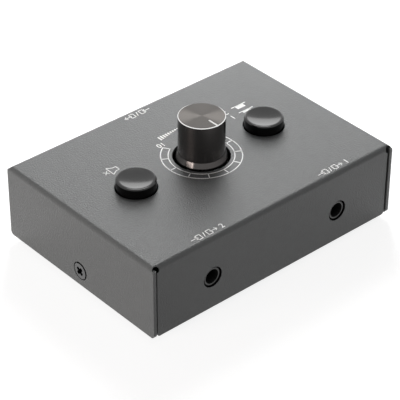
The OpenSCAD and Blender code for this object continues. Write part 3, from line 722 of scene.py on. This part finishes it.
def make_camera():
    """Camera at the photograph's angle, aimed near the middle of the case."""
    back = direction(CAMERA_AZIMUTH, CAMERA_ELEVATION)
    right = Vector((0, 0, 1)).cross(back).normalized()
    up = back.cross(right)
    lean_right = right * math.cos(CAMERA_ROLL) + up * math.sin(CAMERA_ROLL)
    lean_up = up * math.cos(CAMERA_ROLL) - right * math.sin(CAMERA_ROLL)
    data = bpy.data.cameras.new("camera")
    data.sensor_width = SENSOR
    data.lens = CAMERA_LENS
    camera = bpy.data.objects.new("camera", data)
    camera.matrix_world = Matrix.Translation(CAMERA_AIM + back * CAMERA_DISTANCE) @ Matrix((
        (lean_right.x, lean_up.x, back.x, 0),
        (lean_right.y, lean_up.y, back.y, 0),
        (lean_right.z, lean_up.z, back.z, 0),
        (0, 0, 0, 1),
    ))
    bpy.context.scene.collection.objects.link(camera)
    bpy.context.scene.camera = camera


def softbox(name, azimuth, elevation, distance, width, height, radiance, colour, wash, glint):
    """Soft lamp placed as seen from the panel; it may leave out matt surfaces or gloss."""
    data = bpy.data.lights.new(name, "AREA")
    data.shape = "RECTANGLE"
    data.size = width
    data.size_y = height
    data.energy = radiance * math.pi * width * height
    data.color = linear(colour)[:3]
    lamp = bpy.data.objects.new(name, data)
    reach = direction(math.radians(azimuth), math.radians(elevation))
    lamp.location = Vector((0, 0, PANEL_Z)) + reach * distance
    lamp.rotation_euler = reach.to_track_quat("Z", "Y").to_euler()
    lamp.visible_diffuse = wash
    lamp.visible_glossy = glint
    bpy.context.scene.collection.objects.link(lamp)


def flag(lamp, *pieces):
    """Keeps a lamp's light on the given pieces, as a flag does in a studio."""
    lit = bpy.data.collections.new(lamp.name + "_lit")
    for piece in pieces:
        lit.objects.link(piece)
    lamp.light_linking.receiver_collection = lit


def seen_directly(tree):
    """1 for the camera and for what gloss mirrors, 0 for the light on matt surfaces."""
    path = add_node(tree, "ShaderNodeLightPath")
    seen = path.outputs["Is Camera Ray"]
    for ray in ("Is Glossy Ray", "Is Transmission Ray"):
        either = add_node(
            tree, "ShaderNodeMath", {"operation": "MAXIMUM"}, {0: seen, 1: path.outputs[ray]}
        )
        seen = either.outputs[0]
    return seen


def make_studio():
    """White sweep, soft lamps and a quiet world."""
    scene = bpy.context.scene
    scene.view_settings.view_transform = "Standard"
    deselect()
    bpy.ops.mesh.primitive_plane_add(size=FLOOR_SIZE, location=(0, 0, 0))
    floor = named("floor")
    made, tree = new_material("studio_floor")
    card = add_node(tree, "ShaderNodeBsdfDiffuse", {"Color": linear(FLOOR_GREY)})
    white = add_node(tree, "ShaderNodeEmission", {"Color": (1, 1, 1, 1), "Strength": FLOOR_WHITE})
    both = add_node(
        tree, "ShaderNodeAddShader", links={0: card.outputs[0], 1: white.outputs[0]}
    )
    mixed = add_node(
        tree, "ShaderNodeMixShader",
        links={"Fac": seen_directly(tree), 1: card.outputs[0], 2: both.outputs[0]},
    )
    close_material(tree, mixed)
    paint(floor, made)

    world = bpy.data.worlds.new("studio")
    scene.world = world
    world.use_nodes = True
    tree = world.node_tree
    tree.nodes.clear()
    quiet = add_node(tree, "ShaderNodeBackground", {"Color": (1, 1, 1, 1), "Strength": ROOM_LIGHT})
    white = add_node(tree, "ShaderNodeBackground", {"Color": (1, 1, 1, 1), "Strength": 1.0})
    mixed = add_node(
        tree, "ShaderNodeMixShader",
        links={"Fac": seen_directly(tree), 1: quiet.outputs[0], 2: white.outputs[0]},
    )
    add_node(tree, "ShaderNodeOutputWorld", links={"Surface": mixed.outputs[0]})
    for lamp in LAMPS:
        softbox(*lamp)


def round_rims(piece, rims, width):
    """Rounds the edges that pass any of the given tests."""
    pick(piece, "EDGE", lambda a, b: any(test(a, b) for test in rims))
    bpy.ops.mesh.bevel(offset=width, segments=2, affect="EDGES", clamp_overlap=False)
    deselect()


def ring_on(axis, level, centre, radius):
    """Test for the edges of a round rim in a plane across an axis."""
    k = "XYZ".index(axis)
    u, v = [i for i in range(3) if i != k]

    def on_rim(p):
        from_centre = math.hypot(p[u] - centre[0], p[v] - centre[1])
        return abs(p[k] - level) < HAIR and abs(from_centre - radius) < HAIR

    return lambda a, b: on_rim(a) and on_rim(b)


def round_lower_corner(cover, end, side, inner, outer, radius, axis):
    """Takes the lower corner at one end of a wall down to a quarter round."""
    along = 1 if axis == "X" else 0
    start = end - math.copysign(radius, end)
    past = end + math.copysign(SEAM / 2, end)
    low = [0, 0, COVER_Z - OVER]
    high = [0, 0, COVER_Z + radius]
    centre = list(high)
    low[along], high[along] = sorted((start, past))
    low[1 - along], high[1 - along] = sorted((side * inner, side * outer))
    centre[along] = start
    centre[1 - along] = side * (inner + outer) / 2
    corner = block("corner", low, high)
    cut(corner, drum("round", radius, 2 * (outer - inner), centre, axis, 64))
    cut(cover, corner)


def fold_sheet(cover):
    """Opens the box below, folds its four upper edges and gives it the sheet's thickness."""
    pick(cover, "FACE", lambda c, n: n.z < -FACING)
    bpy.ops.mesh.delete(type="ONLY_FACE")
    pick(cover, "EDGE", lambda a, b: min(a.z, b.z) > PANEL_Z - HAIR)
    bpy.ops.mesh.bevel(
        offset=FOLD_R, segments=FOLD_STEPS, offset_type="OFFSET", affect="EDGES"
    )
    deselect()
    outward(cover)
    add_modifier(cover, "SOLIDIFY", thickness=SHEET, offset=-1, use_even_offset=True)


def open_seams(cover):
    """Cuts the seam beside each side wall, then draws the side walls' ends out past the faces."""
    for sx, sy in CORNERS:
        xs = sorted((sx * (WALL_X - SEAM), sx * WALL_X))
        ys = sorted((sy * (HALF_D - SHEET - OVER), sy * (HALF_D + OVER)))
        cut(cover, block("seam", (xs[0], ys[0], COVER_Z - OVER), (xs[1], ys[1], FOLD_Z)))
    for sy in (-1, 1):
        pick(
            cover, "FACE",
            lambda c, n: sy * n.y > FACING and abs(c.x) > WALL_X and sy * c.y > HALF_D - HAIR,
        )
        bpy.ops.mesh.extrude_region_move(TRANSFORM_OT_translate={"value": (0, sy * LIP, 0)})
        deselect()


def drill_corners(cover):
    """Adds the tab at each upper end of the side walls and drills the relief on the diagonal."""
    tab_low, tab_high = FOLD_Z - TAB_RISE, FOLD_Z + TAB_RISE
    past = 5 * OVER
    for sx, sy in CORNERS:
        xs = sorted((sx * WALL_X, sx * (HALF_W - TAB_INSET)))
        ys = sorted((sy * (HALF_D - FOLD_R / 2), sy * (HALF_D + LIP - HAIR)))
        fuse(cover, block("tab", (xs[0], ys[0], tab_low), (xs[1], ys[1], tab_high)))
        deselect()
        bpy.ops.mesh.primitive_cylinder_add(
            vertices=48, radius=RELIEF_R, depth=4 * (SHEET + FOLD_R),
            location=(sx * WALL_X, sy * HALF_D, PANEL_Z - RELIEF_DROP),
            rotation=(0, math.atan(math.sqrt(2)), math.atan2(sy, sx)),
        )
        drill = named("relief")
        xs = sorted((sx * (WALL_X - HAIR), sx * (HALF_W + past)))
        ys = sorted((sy * (HALF_D - past), sy * (HALF_D + past)))
        cut(drill, block("kept", (xs[0], ys[0], COVER_Z), (xs[1], ys[1], tab_high + HAIR)))
        cut(cover, drill)


def shaded_on_cover(c, n):
    """Test for the cover's faces in shade: its inside, its sockets' holes and its screws' seats."""
    inside = (
        abs(c.x) < WALL_X + HAIR
        and abs(c.y) < HALF_D - SHEET + HAIR
        and c.z < PANEL_Z - SHEET + HAIR
    )
    in_hole = (
        abs(c.z - JACK_Z) < WALL_HOLE_R
        and abs(abs(c.y) - HALF_D) < SHEET
        and abs(n.y) < OUTER_HALF
        and abs(n.z) > SLOPING
    )
    across, up = c.y, c.z - SCREW_Z
    in_seat = (
        abs(c.x) < HALF_W - HAIR
        and math.hypot(across, up) < SEAT_R + SEAT_SHIFT
        and across + up > 0
    )
    return inside or in_hole or in_seat


def make_cover():
    """Folded cover: a bent shell with open seams, drilled corners and its holes."""
    cover = block("cover", (-HALF_W, -HALF_D, COVER_Z), (HALF_W, HALF_D, PANEL_Z))
    fold_sheet(cover)
    open_seams(cover)
    for sx, sy in CORNERS:
        round_lower_corner(
            cover, sy * (HALF_D + LIP), sx, WALL_X - SEAM / 2, HALF_W + OVER, SIDE_CORNER_R, "X"
        )
        round_lower_corner(
            cover, sx * (WALL_X - SEAM), sy, HALF_D - SHEET - OVER, HALF_D + OVER,
            END_CORNER_R, "Y",
        )
    drill_corners(cover)

    rims = []
    through = 4 * SHEET
    cut(cover, drum("hole", KNOB_HOLE_R, through, (0, 0, PANEL_Z), sides=128))
    rims.append(ring_on("Z", PANEL_Z, (0, 0), KNOB_HOLE_R))
    for s in (-1, 1):
        cut(cover, drum("hole", CAP_HOLE_R, through, (s * BUTTON_X, 0, PANEL_Z)))
        rims.append(ring_on("Z", PANEL_Z, (s * BUTTON_X, 0), CAP_HOLE_R))
    for x, s in ((0, -1), (-JACK_X, 1), (JACK_X, 1)):
        cut(cover, drum("hole", WALL_HOLE_R, through, (x, s * HALF_D, JACK_Z), "Y", 64))
        rims.append(ring_on("Y", s * HALF_D, (x, JACK_Z), WALL_HOLE_R))
    for s in (-1, 1):
        seat = (s * HALF_W, SEAT_SHIFT, SCREW_Z + SEAT_SHIFT)
        screw = (s * HALF_W, 0, SCREW_Z)
        cut(cover, drum("step", SEAT_R, 2 * SEAT_DEPTH, seat, "X", 64))
        cut(cover, drum("hole", HEAD_R - SHOULDER_R, through, screw, "X", 64))
    round_rims(cover, rims, PAINT_EDGE)
    smooth(cover)
    paint(cover, COVER_COAT)
    # Painted shade: black on the cover's inside, its sockets' holes and the upper half of the
    # screws' seats.
    cover.data.materials.append(PAINTED_SHADE_BLACK)
    assign(cover, 1, shaded_on_cover)
    place(cover, "root", "cover_coating", "top_cover")


def make_tray():
    """Tray: a sheet folded into a channel, with round upper corners and holes for its fixings."""
    low, high = TRAY_LOW, TRAY_HIGH
    tray = block("tray", low, high)
    pick(tray, "FACE", lambda c, n: n.z > FACING or abs(n.y) > FACING)
    bpy.ops.mesh.delete(type="ONLY_FACE")
    pick(tray, "EDGE", lambda a, b: max(a.z, b.z) < low.z + HAIR and abs(a.x - b.x) < HAIR)
    bpy.ops.mesh.bevel(
        offset=TRAY_FOLD_R, segments=TRAY_FOLD_STEPS, offset_type="OFFSET", affect="EDGES"
    )
    pick(tray, "VERT", lambda v: v.z > high.z - HAIR)
    bpy.ops.mesh.bevel(offset=TRAY_CORNER_R, segments=TRAY_FOLD_STEPS, affect="VERTICES")
    deselect()
    outward(tray)
    add_modifier(tray, "SOLIDIFY", thickness=TRAY_T, offset=-1, use_even_offset=True)
    standoffs_low, standoffs_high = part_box("board_standoffs")
    inset = STANDOFF_FLANGE_R
    for x in (standoffs_low.x + inset, standoffs_high.x - inset):
        for y in (standoffs_low.y + inset, standoffs_high.y - inset):
            cut(tray, drum("hole", STANDOFF_HOLE_R, 4 * TRAY_T, (x, y, low.z), sides=48))
    for x in (low.x, high.x):
        cut(tray, drum("hole", TRAY_SCREW_HOLE_R, 4 * TRAY_T, (x, 0, SCREW_Z), "X", 48))
    soften(tray, TRAY_EDGE)
    # Painted shade: the tray's coat is a darker copy of the cover's, for the shade behind the
    # seams.
    paint(tray, TRAY_COAT_PAINTED_SHADE)
    place(tray, "root", "tray_coating", "base_tray")


def make_foot(node):
    """Rubber foot: a turned pad with a rounded tread edge and a slightly hollow tread."""
    low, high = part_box(node)
    radius = (high.x - low.x) / 2
    rings = [(0, low.z + TREAD_HOLLOW), (radius - 2 * FOOT_EDGE_R, low.z + TREAD_HOLLOW)]
    rings += [
        (radius - FOOT_EDGE_R * (1 - math.sin(a)), low.z + FOOT_EDGE_R * (1 - math.cos(a)))
        for a in quarter_turn()
    ]
    rings += [(radius, high.z), (0, high.z)]
    foot = turned(node + "_piece", rings, 64)
    move_mesh(foot, ((low.x + high.x) / 2, (low.y + high.y) / 2, 0))
    smooth(foot, 40)
    paint(foot, RUBBER)
    place(foot, "root", "foot_rubber", node)


def make_knob():
    """Turned aluminium knob: flared skirt, bright cut rim, turned top and a milled pointer."""
    top, low = KNOB_HIGH.z, KNOB_LOW.z
    bore = KNOB_R - KNOB_WALL
    rings = [
        (0, top - KNOB_ROOF),
        (bore, top - KNOB_ROOF),
        (bore, low),
        (SKIRT_R - SKIRT_EDGE, low),
        (SKIRT_R, low + SKIRT_EDGE),
        (SKIRT_R, low + SKIRT_BAND),
        (KNOB_R, SKIRT_TOP_Z),
        (KNOB_R, top - RIM_DROP),
        (KNOB_R - RIM_W, top),
        (0, top),
    ]
    knob = turned("knob", rings, 192)
    cut(knob, block(
        "pointer",
        (-POINTER_W / 2, POINTER_START, top - POINTER_DEPTH),
        (POINTER_W / 2, KNOB_R + OVER, top + OVER),
    ))
    paint(knob, ANODISED)
    knob.data.materials.append(TURNED_TOP)
    knob.data.materials.append(BRIGHT_CUT)

    def on_top(c, n):
        return c.z > top - HAIR and n.z > FACING

    def on_cut(c, n):
        in_groove = abs(c.x) < POINTER_W / 2 + HAIR and c.y > POINTER_START - HAIR
        cut_level = top - POINTER_DEPTH - HAIR < c.z < top - HAIR
        within = math.hypot(c.x, c.y) < KNOB_R - HAIR
        return cut_level and within and (n.z > OUTER_HALF or in_groove)

    assign(knob, 1, on_top)
    assign(knob, 2, on_cut)
    smooth(knob, 10)
    flag(bpy.data.objects["strip"], knob)
    place(knob, "knob", "knob_aluminium", "knob_shell")


def make_cap(side, body, node):
    """Moulded button cap: slightly tapered side, rounded rim and a dished top."""
    top, low = CAP_HIGH.z, CAP_LOW.z
    base_r = (CAP_HIGH.x - CAP_LOW.x) / 2
    ball = (DISH_R ** 2 + DISH_DEPTH ** 2) / (2 * DISH_DEPTH)
    rings = [(0, low), (base_r, low), *round_rim(CAP_TOP_R, top, CAP_RIM_R)]
    for share in DISH_RINGS:
        r = DISH_R * share
        rings.append((r, min(top, top - DISH_DEPTH + ball - math.sqrt(ball ** 2 - r ** 2))))
    cap = move_mesh(turned(body + "_cap", rings), (side * BUTTON_X, 0, 0))
    smooth(cap, 40)
    paint(cap, BLACK_ABS)
    # Painted shade: the cap's side below the rim in a duller, deeper black.
    cap.data.materials.append(ABS_SIDE_PAINTED_SHADE)
    assign(cap, 1, lambda c, n: c.z < top - CAP_RIM_R)
    place(cap, body, "button_plastic", node)


def make_jack(name, side, node):
    """Socket: a round barrel with a long tapered mouth, on its moulded box."""
    low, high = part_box(node)
    x = (low.x + high.x) / 2
    face = HALF_D - BARREL_RECESS
    box_front = face - BARREL_L
    ys = sorted((side * (box_front - (high.y - low.y - BARREL_L)), side * box_front))
    jack = block(name, (low.x, ys[0], low.z), (high.x, ys[1], high.z))
    soften(jack, HOUSING_EDGE)
    barrel = turned("barrel", [
        (0, -BARREL_L - OVER), (BARREL_R, -BARREL_L - OVER), (BARREL_R, -BARREL_EDGE),
        (BARREL_R - BARREL_EDGE, 0), (0, 0),
    ], 64)
    bore = turned("bore", [
        (0, -BORE_DEPTH), (BORE_R, -BORE_DEPTH), (BORE_R, -MOUTH_DEPTH), (MOUTH_R, 0),
        (MOUTH_R + BARREL_EDGE, BARREL_EDGE), (MOUTH_R + BARREL_EDGE, OVER), (0, OVER),
    ], 64)
    for part in (barrel, bore):
        turn_mesh(part, side * math.pi / 2, "X")
        move_mesh(part, (x, side * face, JACK_Z))
    fuse(jack, barrel)
    cut(jack, bore)
    smooth(jack, 35)
    paint(jack, NYLON)
    # Painted shade: the socket's mouth and bore in a duller, deeper black.
    jack.data.materials.append(NYLON_BORE_PAINTED_SHADE)
    assign(
        jack, 1, lambda c, n: math.hypot(c.x - x, c.z - JACK_Z) < MOUTH_R and abs(n.y) < FACING
    )
    place(jack, "root", "jack_plastic", node)


def shaded_on_screw(c, n):
    """Test for a screw's faces in shade: its recess, its neck and the shoulder's upper side."""
    deep = abs(c.x) < HALF_W - HEAD_SINK - SHOULDER_R
    on_shoulder = math.hypot(c.y, c.z - SCREW_Z) > HEAD_R - SHOULDER_R - HAIR
    upper = c.y + c.z - SCREW_Z > HEAD_R / 3
    return deep or abs(n.x) < SHOULDER_SLOPE and (upper or not on_shoulder)


def make_screws():
    """Side screws: countersunk heads with a straight rim and a cross recess."""
    screws = []
    for side in (-1, 1):
        screw = turned("side_screw", [
            (0, -SCREW_L), (SCREW_R, -SCREW_L), (SCREW_R, SCREW_R - HEAD_R - HEAD_RIM),
            (HEAD_R, -HEAD_RIM), *round_rim(HEAD_R, 0, SHOULDER_R), (0, 0),
        ], 64)
        for turn in (0, math.pi / 2):
            arm = block(
                "arm", (-CROSS_L / 2, -CROSS_W / 2, -CROSS_DEPTH), (CROSS_L / 2, CROSS_W / 2, OVER)
            )
            round_rims(arm, [lambda a, b: abs(a.z - b.z) > OVER], CROSS_W / 4)
            turn_mesh(arm, turn + CROSS_TURN, "Z")
            cut(screw, arm)
        turn_mesh(screw, -side * math.pi / 2, "Y")
        move_mesh(screw, (side * (HALF_W - HEAD_SINK), 0, SCREW_Z))
        smooth(screw, 35)
        paint(screw, BLACK_ZINC)
        # Painted shade: dead black in the recess, on the neck and on the shoulder's upper side.
        screw.data.materials.append(SCREW_PAINTED_SHADE)
        assign(screw, 1, shaded_on_screw)
        screws.append(screw)
    place(joined(screws), "root", "black_zinc", "side_screws")


def ink_block(low, high):
    """Flat bar of ink between two corners, in millimetres on the panel."""
    return block(
        "ink", (low[0] * MM, low[1] * MM, PANEL_Z), (high[0] * MM, high[1] * MM, PANEL_Z + INK)
    )


def ink_line(start, end, width=LINE):
    """Bar of ink from one point of the panel to another."""
    start, end = Vector(start), Vector(end)
    step = end - start
    bar = block("ink", (0, -width / 2, PANEL_Z), (step.length, width / 2, PANEL_Z + INK))
    turn_mesh(bar, -math.atan2(step.y, step.x), "Z")
    return move_mesh(bar, (start.x, start.y, 0))


def ink_arrow(start, end):
    """Arrow of thin ink: a line with two short barbs at its end."""
    start, end = Vector(start), Vector(end)
    step = (end - start).normalized()
    across = Vector((-step.y, step.x))
    barbs = [
        end - ARROW_HEAD * step + side * ARROW_HEAD * ARROW_SPREAD * across for side in (-1, 1)
    ]
    return [ink_line(start, end, THIN)] + [ink_line(barb, end, THIN) for barb in barbs]


def ink_outline(points):
    """Closed outline of thin ink through the given points."""
    return [ink_line(a, b, THIN) for a, b in zip(points, points[1:] + points[:1])]


def ink_number(text, centre, turned_round=False):
    """Plain number in ink, with its middle at a point of the panel."""
    deselect()
    bpy.ops.object.text_add(location=(0, 0, 0))
    number = bpy.context.object
    number.data.body = text
    number.data.size = DIGIT_H / DIGIT_SHARE
    number.data.align_x = "CENTER"
    number.data.align_y = "CENTER"
    number.data.extrude = INK / 2
    number.data.offset = DIGIT_WEIGHT
    bpy.ops.object.convert(target="MESH")
    number = named("ink")
    if turned_round:
        turn_mesh(number, math.pi, "Z")
    corners = [v.co for v in number.data.vertices]
    middle_x = (min(c.x for c in corners) + max(c.x for c in corners)) / 2
    middle_y = (min(c.y for c in corners) + max(c.y for c in corners)) / 2
    return move_mesh(number, (centre[0] - middle_x, centre[1] - middle_y, PANEL_Z + INK / 2))


def ink_arc(radius):
    """Arc of ink round the knob: a circle drawn out to a band, opened and thickened."""
    inner, outer = radius - LINE / 2, radius + LINE / 2
    deselect()
    bpy.ops.mesh.primitive_circle_add(
        vertices=360, radius=inner, fill_type="NOTHING", location=(0, 0, PANEL_Z + INK / 2)
    )
    bpy.ops.object.mode_set(mode="EDIT")
    bpy.ops.mesh.select_mode(type="EDGE")
    bpy.ops.mesh.select_all(action="SELECT")
    bpy.ops.mesh.extrude_region_move()
    grow = outer / inner
    bpy.ops.transform.resize(value=(grow, grow, 1), center_override=(0, 0, PANEL_Z))
    deselect()
    band = named("ink")

    def in_gap(c, n):
        angle = (math.degrees(math.atan2(c.y, c.x)) - DIAL_START) % 360
        return angle > DIAL_SWEEP

    pick(band, "FACE", in_gap)
    bpy.ops.mesh.delete(type="FACE")
    deselect()
    add_modifier(band, "SOLIDIFY", thickness=INK, offset=0)
    outward(band)
    return band


def ink_in_out(centre, reading, number=None):
    """Arrow into a box, a divider and an arrow out of a box, read from the front or the rear."""
    shift = NUMBERED_SHIFT if number else 0

    def at(x, y):
        return (centre[0] + reading * x * MM, centre[1] + reading * y * MM)

    marks = []
    for middle, start, end in BOXES:
        left, right = middle + shift - BOX_W, middle + shift + BOX_W
        corners = [(left, -BOX_H), (right, -BOX_H), (right, BOX_H), (left, BOX_H)]
        marks += ink_outline([at(*corner) for corner in corners])
        marks += ink_arrow(at(start + shift, 0), at(end + shift, 0))
    marks.append(ink_line(at(shift - DIVIDER, -BOX_H), at(shift + DIVIDER, BOX_H), THIN))
    if number:
        marks.append(ink_number(number, at(SIGN_NUMBER_X, 0), reading < 0))
    return marks


def ink_dial():
    """Two arcs round the knob joined by ticks, with the numbers at both ends."""
    marks = [ink_arc(RING_OUTER), ink_arc(RING_INNER)]
    for angle in range(DIAL_START, DIAL_START + DIAL_SWEEP + 1, DIAL_STEP):
        out = Vector((math.cos(math.radians(angle)), math.sin(math.radians(angle))))
        marks.append(ink_line(out * (RING_INNER - LINE / 2), out * (RING_OUTER + LINE / 2)))
    for number, (x, y) in DIAL_NUMBERS:
        marks.append(ink_number(number, (x * MM, y * MM)))
    return marks


def ink_level():
    """Rising bars under the dial, the plain sign for loudness."""
    marks = []
    for i in range(BARS):
        left = BAR_LEFT + BAR_PITCH * i
        marks.append(ink_block((left, BAR_BASE), (left + BAR_W, BAR_BASE + BAR_H + BAR_RISE * i)))
    return marks


def ink_push_states():
    """Beside the left button: a low cap for 1 and a tall cap for 2, each on a base line."""
    half = LINE / 2 / MM
    marks = []
    for base, rise, number, (x, y) in PUSH_STATES:
        marks.append(ink_block((PUSH_LINE[0], base - half), (PUSH_LINE[1], base + half)))
        marks.append(ink_block((PUSH_CAP[0], base), (PUSH_CAP[1], base + rise)))
        marks.append(ink_number(number, (x * MM, y * MM)))
    return marks


def ink_mute():
    """Crossed loudspeaker beside the right button."""
    def at(point):
        return (point[0] * MM, (point[1] + MUTE_Y) * MM)

    marks = ink_outline([at(point) for point in SPEAKER])
    marks += [ink_line(at(start), at(end), THIN) for start, end in MUTE_CROSS]
    return marks


def make_print():
    """All the printing on the panel, as one thin layer of ink."""
    marks = ink_dial() + ink_level() + ink_push_states() + ink_mute()
    marks += ink_in_out((0, FRONT_SIGN_Y * MM), 1)
    marks += ink_in_out((JACK_X, REAR_SIGN_Y * MM), -1, "2")
    marks += ink_in_out((-JACK_X, REAR_SIGN_Y * MM), -1, "1")
    ink = joined(marks)
    ink.name = "panel_print"
    ink.data.name = "panel_print"
    paint(ink, SCREEN_INK)
    place(ink, "root", "panel_ink")


make_camera()
make_studio()
make_cover()
make_tray()
for foot_node in ("foot_front_left", "foot_front_right", "foot_rear_left", "foot_rear_right"):
    make_foot(foot_node)
make_knob()
make_cap(-1, "left_button", "left_button_cap")
make_cap(1, "right_button", "right_button_cap")
make_jack("front_jack", -1, "front_jack_housing")
make_jack("rear_left_jack", 1, "rear_left_jack_housing")
make_jack("rear_right_jack", 1, "rear_right_jack_housing")
make_screws()
make_print()

# Finish of the CAD nodes, by a part of their names. The longest match counts.
NODE_FINISH = {
    "top_cover": COVER_COAT,
    # Painted shade: the tray's darker copy of the cover's coat.
    "base_tray": TRAY_COAT_PAINTED_SHADE,
    "foot_": RUBBER,
    "side_screws": ZINC,
    "tray_nuts": ZINC,
    "board_standoffs": ZINC,
    "board_screws": ZINC,
    "pot_clamp": ZINC,
    "circuit_board": LAMINATE,
    "jack_housing": NYLON,
    "jack_contacts": TIN,
    "pot_terminals": TIN,
    "switch_pins": TIN,
    "pot_housing": CAST,
    "track": PHENOLIC,
    "ring": BLACK_MOULD,
    "knob_core": BLACK_MOULD,
    "volume_shaft": ZINC,
    "shaft_clip": ZINC,
    "switch_spring": ZINC,
    "pot_wipers": NATURAL,
    "switch_body": NATURAL,
    "switch_lid": NATURAL,
    "switch_plunger": NATURAL,
    "knob_shell": ANODISED,
    "button_cap": BLACK_ABS,
    "resistors": LACQUER,
}

for node_name, node_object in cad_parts.items():
    keys = [key for key in NODE_FINISH if key in node_name]
    paint(node_object, NODE_FINISH[max(keys, key=len)])
